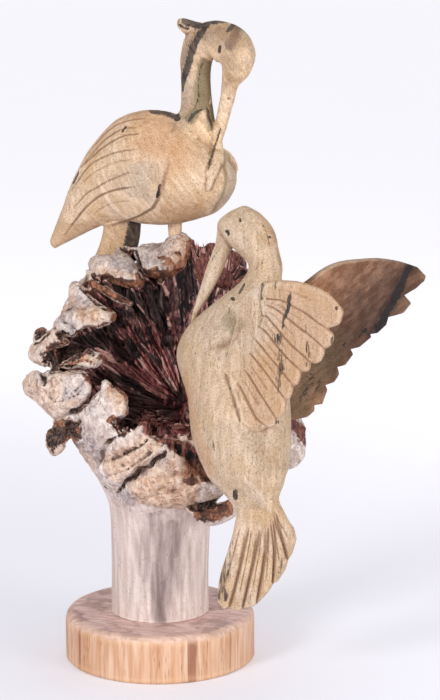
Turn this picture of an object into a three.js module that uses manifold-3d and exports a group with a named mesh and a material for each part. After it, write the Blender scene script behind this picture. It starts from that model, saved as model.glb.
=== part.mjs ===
// A folk carving: two long-billed birds on a cup-shaped burl, with its stem on a turned round base.
// Millimetres, +Z up. X runs to the right of the side that is looked at, and Y runs away from it.
// The origin is the middle of the base's underside.
// The stem, the burl and both birds are cut from one piece of wood, so they are one body.
import * as THREE from "three";
import { mergeVertices } from "three/addons/utils/BufferGeometryUtils.js";
import Module from "manifold-3d";

const wasm = await Module();
wasm.setup();

// The turned base: a disc with a rounded top edge and a small bevel below.
const BASE = { radius: 60, height: 30, rounding: 5, bevel: 1.2, sides: 44 };

// The burl: a cup that flares from the stem and tips forward, towards the viewer.
const CUP = { middle: [6, -5, 203], tilt: 48 };

// The hollow of the cup narrows to a throat, and fibres run up its wall as ridges.
const HOLLOW = {
  throat: [24, 22, 158], wide: 64, deep: 64, ridges: 15, ridge: 2.4, sides: 60, flare: 0.62, twist: 4,
  shares: [0.04, 0.16, 0.32, 0.52, 0.76, 1.05, 1.5],
};

// Each bird has a plane of its own: forward and up from its middle, turned and leaning by degrees.
const STANDING = { middle: [-7.5, 34, 306], face: 1, turn: 25, lean: 0 };
const ALIGHTING = { middle: [46.9, -55, 200], face: -1, turn: 23, lean: 13 };

// The stem and the trumpet that it opens into: middle of each section, tilt, half width, half depth.
const TRUNK = [
  [0, 0, BASE.height, 0, 31, 31],
  [0, 0, 60, 0, 30.5, 30.5],
  [0.5, 0, 88, 0, 31.5, 31.5],
  [1, 1, 101, 3, 33.5, 34],
  [4, 2, 118, 12, 43, 43],
  [6, 2, 150, 24, 63, 55],
  [8, -2, 180, 38, 72, 65],
  [...CUP.middle, CUP.tilt, 75, 72],
  [6, -8, 207, CUP.tilt, 70, 68],
];

// Knobs of bark on the cup's lip: direction round the cup in degrees, distance out from its middle,
// lift above the lip's plane, half length outwards, half width, half thickness and lean in degrees.
const KNOBS = [
  [93, 61, 2, 20, 20, 13, 8],
  [123, 62, 2, 17, 19, 12, 0],
  [113, 78, -5, 8, 9, 8, 0],
  [137, 57, 0, 17, 9, 9, 10],
  [148, 67, -4, 14, 12, 11, 0],
  [165, 56, 2, 22, 11, 10, -6],
  [175, 78, -9, 9, 8, 8, 0],
  [185, 73, -6, 14, 15, 12, 0],
  [197, 57, 1, 16, 8, 8, -8],
  [208, 74, -5, 20, 16, 14, 0],
  [231, 67, 0, 23, 20, 13, 6],
  [220, 84, -21, 13, 10, 10, 0],
  [246, 76, -9, 19, 17, 14, 14],
  [259, 80, -13, 18, 16, 15, 20],
  [273, 82, -22, 24, 28, 18, 24],
  [290, 92, -37, 17, 18, 10, 30],
  [318, 84, -20, 24, 24, 17, 20],
  [344, 75, -8, 18, 19, 14, 0],
  [8, 72, -5, 17, 20, 14, 0],
  [33, 68, -5, 17, 19, 13, 0],
  [60, 66, -5, 15, 18, 12, 6],
];

// What every knob shares: how square its section is, how lumpy it is, and how it narrows outwards.
const KNOB = { square: 0.85, lumps: 0.1, taper: 0.18 };

// A section of a bird is given by the two outline points that face each other, each as forward
// and up in the bird's plane, and by its half width across that plane.
const STANDING_BODY = [
  [-71, -50, -67.5, -54.5, 2],
  [-67.5, -42, -54, -47.5, 5],
  [-60, -26, -33, -37.5, 11],
  [-50, -5, -15, -33, 17],
  [-36.5, 15, 1, -34.5, 23],
  [-19, 31.5, 20, -33.5, 27],
  [0.5, 37, 36.5, -29, 28],
  [17.5, 35.5, 48, -24, 25],
  [33, 29, 57, -14, 20],
  [45, 17, 59.5, -4, 12],
  [54.5, 8, 57, 3.5, 2],
];
const STANDING_NECK = [
  [14.5, 19, 47.5, 20, 12],
  [23, 36.5, 45, 37, 10],
  [24.5, 49, 43.5, 49.5, 8.5],
  [24.5, 59.5, 43, 60, 8.5],
  [24.5, 71.5, 44.5, 68.5, 9.5],
  [29.5, 86, 48, 70, 11],
  [46, 93, 49, 68.5, 12],
  [64.5, 88, 49, 67.5, 12],
  [73, 74.5, 50.5, 68, 11],
  [69.5, 61, 52.5, 65.5, 8.5],
  [62, 53, 52, 55.5, 5.5],
  [59.5, 44, 50.5, 45.5, 4.5],
  [55, 26, 47, 27, 4],
  [47, 4, 42, 5, 2.5],
  [42, -9.5, 40.5, -9, 0.8],
];
const STANDING_CREST = [
  [43, 90.5, 35.5, 79, 9],
  [32.5, 92.5, 27.5, 84, 6.5],
  [26, 94, 22.5, 88, 4.5],
  [22.5, 94, 21.5, 91.5, 1.5],
];
const ALIGHTING_BODY = [
  [0.5, 93.5, 3, 93.5, 1.5],
  [-7, 90, 10.5, 89.5, 8],
  [-14.5, 84, 18, 82.5, 12],
  [-19, 77, 15, 75.5, 13],
  [-21.5, 68.5, 6, 67, 12],
  [-24.5, 59.5, -4, 58.5, 10.5],
  [-25, 51, -1.5, 49.5, 11],
  [-27, 41.5, 10, 39, 15],
  [-29, 32, 22, 28.5, 18],
  [-31.5, 21.5, 32.5, 17, 21],
  [-33.5, 5.5, 36.5, 0.5, 24],
  [-35.5, -18.5, 27, -23.5, 25],
  [-38, -38.5, 23, -43.5, 25],
  [-39, -51.5, 17.5, -57, 23],
  [-37, -66.5, 8.5, -71, 18],
  [-34, -77.5, -3.5, -81, 13],
  [-34, -87, -10, -90, 9],
  [-33, -97, -13, -99, 5.5],
  [-28, -110, -20, -111, 1],
];
const ALIGHTING_BEAK = [
  [3, 73, 18.5, 83, 7],
  [8.5, 66.5, 18.5, 72, 5],
  [14, 51.5, 23, 55, 4],
  [20, 38.5, 27, 40, 3.2],
  [26, 28, 30, 28, 2.4],
  [29, 20, 31, 20, 1],
];

// The standing bird's wing lies folded on each side: its lower edge climbs round the body from the
// tail to the shoulder, and the wing stands a little proud above that edge, with shallow flutes.
const FOLDED_WING = {
  proud: 1.8, from: -80, to: 4, ends: 0.66, fade: 0.12, edge: 5, flutes: 7, flute: 0.9, tail: [0.02, 0.2],
};

// What holds the standing bird up: a round peg in front and a strut of uncarved wood behind.
const PEG = { at: [9.5, 37], from: 246, to: 276, half: 4.3 };
const STRUT = [
  [-21, 43, 276, 12, 9],
  [-24, 47, 258, 13, 9],
  [-30, 50, 242, 13, 9],
  [-38, 48, 222, 12, 10],
];

// Wings and tail are fans: a hub, the way the blade leads, a sweep of angles, and the reach at
// angles of the sweep, with the tips of the feathers as scallops along the trailing edge.
const NEAR_WING = {
  hub: [48, -78, 212], along: [0.785, -0.62, 0], feathers: 9, notch: 3.5, thick: 4, root: 12,
  reach: [[-84, 52], [-66, 48], [-53, 46], [-36, 43], [-23, 43], [-10, 46], [-1, 53], [7, 64], [15, 74],
    [22, 81], [30, 78], [41, 67], [54, 55], [66, 46], [78, 37]],
};
const FAR_WING = {
  hub: [58, -46, 209], along: [0.93, 0.368, 0], feathers: 9, notch: 5, thick: 4, root: 11,
  reach: [[-76, 50], [-62, 53], [-46, 55], [-31, 54], [-18, 57], [-6, 63], [1, 76], [7, 89], [14, 102],
    [18, 118], [23, 114], [31, 94], [37, 82], [44, 65], [52, 47], [62, 34]],
};
const TAIL = {
  hub: [61, -80, 140], along: [0.92, -0.39, 0], feathers: 12, notch: 1.5, thick: 4, root: 12,
  reach: [[-118, 38], [-113, 60], [-110, 76], [-107, 86], [-103, 91], [-98, 90], [-92, 83], [-86, 74],
    [-80, 66], [-73, 57], [-66, 50], [-60, 42], [-57, 28]],
};
const FAN_SHARES = [1, 0.55, 0.1];
const COLUMNS_A_FEATHER = 3;
const FAN_FLUTE = 0.7;

// How finely each form is faceted, as rows along it and sides round it.
const DETAIL = {
  trunk: [13, 40],
  standingBody: [18, 28],
  standingNeck: [23, 10],
  crest: [5, 8],
  alightingBody: [21, 18],
  beak: [8, 8],
  knob: [5, 8],
  leg: 12,
  baseRounding: 3,
};

// Points closer than this are one point once the forms are joined.
const WELD = 0.05;

// Joins a stack of equal rings into one closed body, with a fan of triangles over each end.
function skin(rings) {
  const sides = rings[0].length;
  const points = rings.flat();
  const middle = (ring) => ring.reduce((sum, p) => sum.add(p), new THREE.Vector3()).divideScalar(sides);
  points.push(middle(rings[0]), middle(rings.at(-1)));
  const foot = points.length - 2;
  const last = (rings.length - 1) * sides;
  const faces = [];
  for (let k = 0; k < sides; k += 1) {
    const next = (k + 1) % sides;
    for (let row = 0; row < last; row += sides) {
      faces.push(row + k, row + next, row + next + sides, row + k, row + next + sides, row + k + sides);
    }
    faces.push(foot, next, k, foot + 1, last + k, last + next);
  }
  return closed(points, faces);
}

// Makes a geometry whose faces point outwards, whichever way round the faces came.
function closed(points, faces) {
  let volume = 0;
  for (let i = 0; i < faces.length; i += 3) {
    const [a, b, c] = [points[faces[i]], points[faces[i + 1]], points[faces[i + 2]]];
    volume += a.dot(new THREE.Vector3().crossVectors(b, c));
  }
  const turned = volume < 0 ? faces.toReversed() : faces;
  const geometry = new THREE.BufferGeometry();
  const position = points.flatMap((p) => p.toArray());
  geometry.setAttribute("position", new THREE.Float32BufferAttribute(position, 3));
  geometry.setIndex(turned);
  return geometry;
}

// A ring of points round an ellipse, in the plane of two half axes.
function ellipse(middle, across, up, sides, radius = () => 1) {
  return Array.from({ length: sides }, (_, k) => {
    const angle = (2 * Math.PI * k) / sides;
    const r = radius(angle);
    return middle.clone()
      .addScaledVector(across, r * Math.cos(angle))
      .addScaledVector(up, r * Math.sin(angle));
  });
}

// Reads a smooth curve through the rows of a table at a share of its length.
function smoothRow(table, share) {
  const span = share * (table.length - 1);
  const i = Math.min(Math.floor(span), table.length - 2);
  const t = span - i;
  const row = (k) => table[THREE.MathUtils.clamp(k, 0, table.length - 1)];
  return table[0].map((_, c) => {
    const [a, b, d, e] = [row(i - 1)[c], row(i)[c], row(i + 1)[c], row(i + 2)[c]];
    return b + 0.5 * t * (d - a + t * (2 * a - 5 * b + 4 * d - e + t * (3 * (b - d) + e - a)));
  });
}

// The three directions of a bird's plane: forward, up and across.
function directions({ face, turn, lean }) {
  const [yaw, tip] = [turn, lean].map(THREE.MathUtils.degToRad);
  const forward = new THREE.Vector3(face * Math.cos(yaw), -face * Math.sin(yaw), 0);
  const up = new THREE.Vector3(0, Math.sin(tip), Math.cos(tip));
  up.addScaledVector(forward, -up.dot(forward)).normalize();
  return { forward, up, across: new THREE.Vector3().crossVectors(forward, up) };
}

// A body, neck or beak through the sections of a table, in the plane of its bird.
function limb(bird, table, [rows, sides], relief = () => () => 1) {
  const { forward, up, across } = directions(bird);
  const origin = new THREE.Vector3(...bird.middle);
  const place = (f, u) => origin.clone().addScaledVector(forward, f).addScaledVector(up, u);
  const rings = Array.from({ length: rows }, (_, row) => {
    const share = row / (rows - 1);
    const [f1, u1, f2, u2, wide] = smoothRow(table, share);
    const [back, belly] = [place(f1, u1), place(f2, u2)];
    const middle = back.clone().lerp(belly, 0.5);
    const half = back.sub(belly).multiplyScalar(0.5);
    return ellipse(middle, across.clone().multiplyScalar(wide), half, sides, relief(share, wide));
  });
  return skin(rings);
}

// The folded wings' relief on the standing bird's body: how far out a point lies, as a factor.
function foldedWing(share, wide) {
  const { smoothstep, lerp, radToDeg } = THREE.MathUtils;
  const { proud, from, to, ends, fade, edge, flutes, flute, tail } = FOLDED_WING;
  const border = lerp(from, to, share / ends);
  const along = smoothstep(share, ...tail) * (1 - smoothstep(share, ends - fade, ends));
  return (angle) => {
    const height = radToDeg(Math.asin(Math.sin(angle)));
    const step = smoothstep(height, border - edge, border + edge);
    const furrow = 0.5 - 0.5 * Math.cos((flutes * Math.PI * (height - border)) / (90 - border));
    return 1 + (along * step * (proud - flute * furrow)) / Math.max(wide, proud * 4);
  };
}

// The stem and the trumpet above it.
function trunk() {
  const [rows, sides] = DETAIL.trunk;
  const rings = Array.from({ length: rows }, (_, row) => {
    const [x, y, z, tilt, wide, deep] = smoothRow(TRUNK, row / (rows - 1));
    const tip = THREE.MathUtils.degToRad(tilt);
    const middle = new THREE.Vector3(x, y, z);
    const up = new THREE.Vector3(0, Math.cos(tip), Math.sin(tip)).multiplyScalar(deep);
    return ellipse(middle, new THREE.Vector3(wide, 0, 0), up, sides);
  });
  for (const point of rings[0]) point.z = BASE.height;
  return skin(rings);
}

// The cup's own directions: right, back and up along the lip, and out of the cup.
function cupDirections() {
  const tip = THREE.MathUtils.degToRad(CUP.tilt);
  return {
    right: new THREE.Vector3(1, 0, 0),
    back: new THREE.Vector3(0, Math.cos(tip), Math.sin(tip)),
    out: new THREE.Vector3(0, -Math.sin(tip), Math.cos(tip)),
  };
}

// What is hollowed out of the cup: it widens from the throat to past the lip, with ridged sides.
function hollow() {
  const { throat, wide, deep, ridges, ridge, sides, flare, twist, shares } = HOLLOW;
  const { right, back } = cupDirections();
  const bottom = new THREE.Vector3(...throat);
  const middle = new THREE.Vector3(...CUP.middle);
  const rings = shares.map((share) => {
    const grow = Math.pow(share, flare);
    const at = bottom.clone().lerp(middle, share);
    const depth = (ridge * Math.min(1, share * 3)) / wide;
    const furrow = (angle) => grow * (1 + depth * Math.cos(ridges * angle + twist * share));
    return ellipse(at, right.clone().multiplyScalar(wide), back.clone().multiplyScalar(deep), sides, furrow);
  });
  return skin(rings);
}

// A lumpy knob of bark on the lip, longer outwards than across.
function knob([angle, out, lift, long, wide, thick, lean], index) {
  const cup = cupDirections();
  const [turn, tip] = [angle, lean].map(THREE.MathUtils.degToRad);
  const outward = cup.right.clone().multiplyScalar(Math.cos(turn)).addScaledVector(cup.back, Math.sin(turn));
  const middle = new THREE.Vector3(...CUP.middle)
    .addScaledVector(outward, out)
    .addScaledVector(cup.out, lift);
  const length = outward.clone().multiplyScalar(Math.cos(tip)).addScaledVector(cup.out, -Math.sin(tip));
  const height = outward.clone().multiplyScalar(Math.sin(tip)).addScaledVector(cup.out, Math.cos(tip));
  const width = new THREE.Vector3().crossVectors(height, length);
  const [rows, sides] = DETAIL.knob;
  const geometry = merged(new THREE.SphereGeometry(1, sides, rows));
  const position = geometry.getAttribute("position");
  const point = new THREE.Vector3();
  for (let i = 0; i < position.count; i += 1) {
    point.fromBufferAttribute(position, i);
    point.set(...point.toArray().map((v) => Math.sign(v) * Math.abs(v) ** KNOB.square));
    const wave = Math.sin(3 * point.x + 2 * point.y + 1.7 * index) * Math.cos(2.6 * point.z + index);
    const lump = 1 + KNOB.lumps * wave;
    const taper = 1 - KNOB.taper * point.x;
    const placed = middle.clone()
      .addScaledVector(length, lump * long * point.x)
      .addScaledVector(width, lump * taper * wide * point.y)
      .addScaledVector(height, lump * thick * point.z);
    position.setXYZ(i, placed.x, placed.y, placed.z);
  }
  return geometry;
}

// A wing or tail: a blade that thins from its root, with fluted feathers ending in scallops.
function fan({ hub, along, feathers, notch, thick, root, reach }) {
  const origin = new THREE.Vector3(...hub);
  const ahead = new THREE.Vector3(...along).normalize();
  const up = new THREE.Vector3(0, 0, 1);
  const normal = new THREE.Vector3().crossVectors(ahead, up);
  const longest = Math.max(...reach.map(([, length]) => length));
  const columns = (reach.length - 1) * COLUMNS_A_FEATHER + 1;
  const place = (column, row, side) => {
    const [angle, outline] = smoothRow(reach, column / (columns - 1));
    const turn = THREE.MathUtils.degToRad(angle);
    const feather = (column / COLUMNS_A_FEATHER) % 1;
    const scallop = column < feathers * COLUMNS_A_FEATHER ? notch * Math.sin(Math.PI * feather) : 0;
    const length = row * (outline + scallop);
    const spread = length / longest;
    const half = THREE.MathUtils.lerp(root, thick, Math.min(1, spread * 1.3)) / 2;
    const flute = FAN_FLUTE * (Math.min(1, spread * 2) * Math.sin(Math.PI * feather) - 0.7);
    return origin.clone()
      .addScaledVector(ahead, length * Math.cos(turn))
      .addScaledVector(up, length * Math.sin(turn))
      .addScaledVector(normal, side * (half + flute));
  };
  return blade(FAN_SHARES.map((row) => edgeRing(columns, row, place)), columns);
}

// One row of a fan: along the front face and back along the other.
function edgeRing(columns, row, place) {
  const front = Array.from({ length: columns }, (_, c) => place(c, row, 1));
  const rear = Array.from({ length: columns }, (_, c) => place(columns - 1 - c, row, -1));
  return [...front, ...rear];
}

// Closes a fan: the rows are rings round the blade, and the outer rim is a strip of quads.
function blade(rings, columns) {
  const sides = columns * 2;
  const points = rings.flat();
  const faces = [];
  const quad = (a, b, c, d) => faces.push(a, b, c, a, c, d);
  for (let row = 0; row + 1 < rings.length; row += 1) {
    for (let k = 0; k < sides; k += 1) {
      const [a, b] = [row * sides + k, row * sides + ((k + 1) % sides)];
      quad(a, b, b + sides, a + sides);
    }
  }
  const end = (rings.length - 1) * sides;
  for (let c = 0; c + 1 < columns; c += 1) {
    quad(c + 1, c, sides - 1 - c, sides - 2 - c);
    quad(end + c, end + c + 1, end + sides - 2 - c, end + sides - 1 - c);
  }
  return closed(points, faces);
}

// The peg under the standing bird's breast.
function peg() {
  const across = new THREE.Vector3(PEG.half, 0, 0);
  const deep = new THREE.Vector3(0, PEG.half, 0);
  const ring = (z) => ellipse(new THREE.Vector3(...PEG.at, z), across, deep, DETAIL.leg);
  return skin([ring(PEG.from), ring(PEG.to)]);
}

// The strut behind the peg: four-sided, running down behind the lip.
function strut() {
  const { forward, across } = directions(STANDING);
  const corner = (angle) => 1 + 0.16 * Math.abs(Math.sin(2 * angle));
  return skin(STRUT.map(([x, y, z, wide, thick]) => ellipse(
    new THREE.Vector3(x, y, z), forward.clone().multiplyScalar(wide),
    across.clone().multiplyScalar(thick), DETAIL.leg, corner)));
}

// Leaves a geometry with its positions alone, each held once.
function merged(geometry) {
  geometry.deleteAttribute("normal");
  geometry.deleteAttribute("uv");
  return mergeVertices(geometry, 1e-4);
}

// A closed geometry as a solid that can be joined and cut.
function solid(geometry) {
  const mesh = new wasm.Mesh({
    numProp: 3,
    vertProperties: new Float32Array(geometry.getAttribute("position").array),
    triVerts: new Uint32Array(geometry.index.array),
  });
  return new wasm.Manifold(mesh);
}

// The joined body as a geometry. Points closer than the weld distance become one, and the slivers
// that this closes up go: faces with two equal corners, and pairs of faces back to back.
function toGeometry(body) {
  const { vertProperties, triVerts } = body.getMesh();
  const raw = new THREE.BufferGeometry();
  raw.setAttribute("position", new THREE.Float32BufferAttribute(vertProperties, 3));
  raw.setIndex(new THREE.Uint32BufferAttribute(triVerts, 1));
  const geometry = mergeVertices(raw, WELD);
  const kept = new Map();
  const { array } = geometry.index;
  for (let i = 0; i < array.length; i += 3) {
    const corners = [array[i], array[i + 1], array[i + 2]];
    if (new Set(corners).size < 3) continue;
    const key = corners.toSorted((a, b) => a - b).join(" ");
    if (kept.has(key)) kept.delete(key);
    else kept.set(key, corners);
  }
  geometry.setIndex([...kept.values()].flat());
  geometry.computeVertexNormals();
  return geometry;
}

// The burl is hollowed first, so that the knobs curl over the edge of its hollow.
function carving() {
  const parts = [
    ...KNOBS.map(knob),
    limb(STANDING, STANDING_BODY, DETAIL.standingBody, foldedWing),
    limb(STANDING, STANDING_NECK, DETAIL.standingNeck),
    limb(STANDING, STANDING_CREST, DETAIL.crest),
    limb(ALIGHTING, ALIGHTING_BODY, DETAIL.alightingBody),
    limb(ALIGHTING, ALIGHTING_BEAK, DETAIL.beak),
    fan(NEAR_WING), fan(FAR_WING), fan(TAIL),
    peg(), strut(),
  ];
  const burl = solid(trunk()).subtract(solid(hollow()));
  return toGeometry(parts.reduce((whole, part) => whole.add(solid(part)), burl));
}

// The base is turned: its profile is spun round the upright axis.
function base() {
  const { radius, height, rounding, bevel, sides } = BASE;
  const profile = [[0, 0], [radius - bevel, 0], [radius, bevel]].map((point) => new THREE.Vector2(...point));
  for (let i = 0; i <= DETAIL.baseRounding; i += 1) {
    const angle = (i / DETAIL.baseRounding) * (Math.PI / 2);
    profile.push(new THREE.Vector2(
      radius - rounding * (1 - Math.cos(angle)), height - rounding * (1 - Math.sin(angle))));
  }
  profile.push(new THREE.Vector2(0, height));
  return merged(new THREE.LatheGeometry(profile, sides)).rotateX(Math.PI / 2);
}

const paleWood = new THREE.MeshStandardMaterial({ color: 0xcbb088, roughness: 0.62, metalness: 0 });
const orangeWood = new THREE.MeshStandardMaterial({ color: 0xc4926a, roughness: 0.55, metalness: 0 });

function piece(name, geometry, material) {
  const mesh = new THREE.Mesh(geometry, material);
  mesh.name = name;
  return mesh;
}

const model = new THREE.Group();
model.add(piece("base", base(), orangeWood), piece("carving", carving(), paleWood));

export default model;
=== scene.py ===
"""Dresses a folk carving: two long-billed birds on a cup-shaped burl, on a turned wooden base."""

import itertools
import logging
import math
from collections.abc import Callable, Mapping, Sequence
from dataclasses import dataclass
from enum import Enum

import bmesh
import bpy
import numpy as np
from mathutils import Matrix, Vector


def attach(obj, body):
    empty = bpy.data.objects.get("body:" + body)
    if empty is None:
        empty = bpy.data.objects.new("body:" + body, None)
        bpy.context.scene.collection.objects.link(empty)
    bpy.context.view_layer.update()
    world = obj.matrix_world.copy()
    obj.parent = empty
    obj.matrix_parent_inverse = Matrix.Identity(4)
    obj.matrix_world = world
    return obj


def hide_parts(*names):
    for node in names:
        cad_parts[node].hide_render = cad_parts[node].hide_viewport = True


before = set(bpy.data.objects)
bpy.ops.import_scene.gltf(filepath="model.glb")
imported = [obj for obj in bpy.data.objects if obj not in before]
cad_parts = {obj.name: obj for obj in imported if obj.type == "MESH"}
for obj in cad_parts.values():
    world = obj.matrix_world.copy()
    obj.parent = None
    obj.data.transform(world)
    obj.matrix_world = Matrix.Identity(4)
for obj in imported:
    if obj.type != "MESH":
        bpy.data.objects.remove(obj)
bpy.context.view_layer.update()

log = logging.getLogger("carving")
Array = np.ndarray
Table = Sequence[Sequence[float]]
Path = Sequence[tuple[float, float]]
Triple = tuple[float, float, float]
Output = bpy.types.NodeSocket
Inputs = Mapping[str | int, object]

# Sizes are in millimetres in the frame's axes, and MM turns them into Blender's metres.
MM = 0.001
BODY = "root"

# The photograph's frame, in pixels, and the camera that sees it so.
WIDTH, HEIGHT = 440, 700
EYE = (38.0, -1300.0, 445.0)
PITCH = 10.8
FOCAL = 2130.0

# The burl's own sizes.
FOOT = 30.0
CUP_MIDDLE, CUP_TILT = (6.0, -5.0, 203.0), 48.0
THROAT, WIDE, FLARE = (15.0, 22.0, 158.0), 64.0, 0.62

# Stem and trumpet: middle of each section, tilt, half width and half depth.
TRUNK = (
    (0, 0, FOOT, 0, 31, 31),
    (0, 0, 60, 0, 30.5, 30.5),
    (0.5, 0, 88, 0, 31.5, 31.5),
    (1, 1, 101, 3, 33.5, 34),
    (4, 2, 118, 12, 43, 43),
    (6, 2, 150, 24, 63, 55),
    (8, -2, 180, 38, 72, 65),
    (*CUP_MIDDLE, CUP_TILT, 75, 72),
    (6, -8, 207, CUP_TILT, 70, 68),
)

# Lobes of bark at the side that the photograph doesn't show: direction, distance out, lift, half
# length, width, thickness and lean.
LOBES = (
    (320, 84, -18, 23, 19, 14, 20),
    (344, 75, -8, 18, 19, 14, 0),
    (8, 72, -5, 17, 20, 14, 0),
    (33, 68, -5, 17, 19, 13, 0),
    (60, 66, -5, 15, 18, 12, 6),
)

# A section of a bird: two outline points that face each other, forward and up, and its half width.
STANDING_BODY = (
    (-71, -50, -67.5, -54.5, 2),
    (-67.5, -42, -54, -47.5, 5),
    (-60, -26, -33, -37.5, 11),
    (-50, -5, -15, -33, 17),
    (-36.5, 15, 1, -34.5, 23),
    (-19, 31.5, 20, -33.5, 27),
    (0.5, 37, 36.5, -29, 28),
    (17.5, 35.5, 48, -24, 25),
    (33, 29, 57, -14, 20),
    (45, 17, 59.5, -4, 12),
    (54.5, 8, 57, 3.5, 2),
)
STANDING_NECK = (
    (12, 2, 42, 3, 10),
    (14.5, 19, 47.5, 20, 12),
    (23, 36.5, 45, 37, 10),
    (24.5, 49, 43.5, 49.5, 8.5),
    (24.5, 59.5, 43, 60, 8.5),
    (24.5, 71.5, 44.5, 68.5, 9.5),
    (29.5, 86, 48, 70, 11),
    (46, 93, 49, 68.5, 12),
    (64.5, 88, 49, 67.5, 12),
    (73, 74.5, 50.5, 68, 11),
    (69.5, 61, 52.5, 65.5, 8.5),
    (62, 53, 52, 55.5, 5.5),
    (59.5, 44, 50.5, 45.5, 4.5),
    (54, 26, 46, 27, 4),
    (45.4, 4, 40.4, 5, 2.5),
    (42, -9.5, 40.5, -9, 0.8),
)
STANDING_CREST = (
    (43, 90.5, 35.5, 79, 9),
    (32.5, 92.5, 27.5, 84, 6.5),
    (26, 94, 22.5, 88, 4.5),
    (22.5, 94, 21.5, 91.5, 1.5),
)
ALIGHTING_BODY = (
    (0.5, 93.5, 3, 93.5, 1.5),
    (-7, 90, 10.5, 89.5, 8),
    (-14.5, 84, 18, 82.5, 12),
    (-19, 77, 15, 75.5, 13),
    (-21.5, 68.5, 6, 67, 12),
    (-24.5, 59.5, -4, 58.5, 10.5),
    (-25, 51, -1.5, 49.5, 11),
    (-27, 41.5, 10, 39, 15),
    (-29, 32, 22, 28.5, 18),
    (-31.5, 21.5, 32.5, 17, 21),
    (-33.5, 5.5, 36.5, 0.5, 24),
    (-35.5, -18.5, 27, -23.5, 25),
    (-38, -38.5, 23, -43.5, 25),
    (-39, -51.5, 17.5, -57, 23),
    (-37, -66.5, 8.5, -71, 18),
    (-34, -77.5, -3.5, -81, 13),
    (-34, -87, -10, -90, 9),
    (-33, -97, -13, -99, 5.5),
    (-28, -110, -20, -111, 1),
)
ALIGHTING_BEAK = (
    (3, 73, 18.5, 83, 7),
    (8.5, 66.5, 18.5, 72, 5),
    (14, 51.5, 23, 55, 4),
    (20, 38.5, 27, 40, 3.2),
    (26, 28, 30, 28, 2.4),
    (29, 20, 31, 20, 1),
)
PEG = ((9.5, 37, 244, 4.3), (9.5, 37, 250, 4.2), (9.5, 37, 262, 4.1), (9.5, 37, 276, 4.6))
STRUT = ((-23, 43, 276, 10.5, 9), (-26, 47, 258, 11.5, 9), (-32, 50, 242, 12, 9), (-39, 48, 222, 12, 10))


def unit(vector: Sequence[float] | Array) -> Array:
    """Returns the vector at length one."""
    vector = np.asarray(vector, float)
    return vector / np.linalg.norm(vector, axis=-1, keepdims=True)


def ease(low: float, high: float, value: Array) -> Array:
    """Rises smoothly from 0 at low to 1 at high."""
    share = np.clip((value - low) / (high - low), 0.0, 1.0)
    return share * share * (3.0 - 2.0 * share)


def row_at(table: Table, share: Array) -> Array:
    """Reads a smooth curve through a table's rows.

    Args:
        table: Rows of equal length.
        share: Places along the table, from 0 to 1.

    Returns:
        One row for each place.
    """
    rows = np.asarray(table, float)
    span = np.clip(share, 0.0, 1.0) * (len(rows) - 1)
    first = np.minimum(span.astype(int), len(rows) - 2)
    t = (span - first)[..., None]
    a, b, c, d = (rows[np.clip(first + k, 0, len(rows) - 1)] for k in (-1, 0, 1, 2))
    return b + 0.5 * t * (c - a + t * (2 * a - 5 * b + 4 * c - d + t * (3 * (b - c) + d - a)))


def lumps(places: Array, size: float | Sequence[float], seed: int, octaves: int = 1) -> Array:
    """Smooth noise, about -1 to 1.

    Args:
        places: Points, one a row.
        size: The size of a lump, or one for each axis.
        seed: Picks the pattern.
        octaves: How many finer layers are added.

    Returns:
        One value for each point.
    """
    cells = 32
    lattice = np.random.default_rng(seed).uniform(-1.0, 1.0, (cells, cells, cells))
    total, strength, reach = np.zeros(len(places)), 1.0, 0.0
    for octave in range(octaves):
        spot = places / np.asarray(size, float) * 2.0**octave + 5.17 * octave
        cell = np.floor(spot).astype(int)
        t = spot - cell
        t = t * t * (3.0 - 2.0 * t)
        for corner in itertools.product((0, 1), repeat=3):
            index = (cell + corner) % cells
            weight = np.prod(np.where(corner, t, 1.0 - t), axis=1)
            total += strength * weight * lattice[index[:, 0], index[:, 1], index[:, 2]]
        reach += strength
        strength *= 0.5
    return total / reach * 1.4


def nearest(path: Path | Array, spots: Array) -> tuple[Array, Array]:
    """Measures how far spots are from a path.

    Args:
        path: Corner points of the path.
        spots: Points with as many coordinates as the path's.

    Returns:
        The distance of each spot, and the share of the path at which it is nearest.
    """
    path = np.asarray(path, float)
    best = np.full(len(spots), np.inf)
    share = np.zeros(len(spots))
    for k, (a, b) in enumerate(zip(path[:-1], path[1:])):
        along = b - a
        t = np.clip((spots - a) @ along / max(along @ along, 1e-9), 0.0, 1.0)
        gap = np.linalg.norm(spots - a - t[:, None] * along, axis=1)
        closer = gap < best
        best[closer] = gap[closer]
        share[closer] = (k + t[closer]) / (len(path) - 1)
    return best, share


def even(path: Path, count: int) -> Array:
    """Returns a smooth curve through a path as evenly spaced points.

    Args:
        path: Its corner points.
        count: How many points are wanted.

    Returns:
        The points, one a row.
    """
    curve = row_at(path, np.linspace(0.0, 1.0, 12 * len(path)))
    lengths = np.concatenate(([0.0], np.cumsum(np.linalg.norm(np.diff(curve, axis=0), axis=1))))
    wanted = np.linspace(0.0, lengths[-1], count)
    return np.stack([np.interp(wanted, lengths, axis) for axis in curve.T], axis=1)


def pairs(text: str) -> Path:
    """Reads a path's pixels, two numbers each."""
    numbers = [float(word) for word in text.split()]
    return tuple(zip(numbers[::2], numbers[1::2]))


def paths(table: str) -> tuple[Path, ...]:
    """Reads paths with a semicolon between them."""
    return tuple(map(pairs, table.split(";")))


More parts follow.
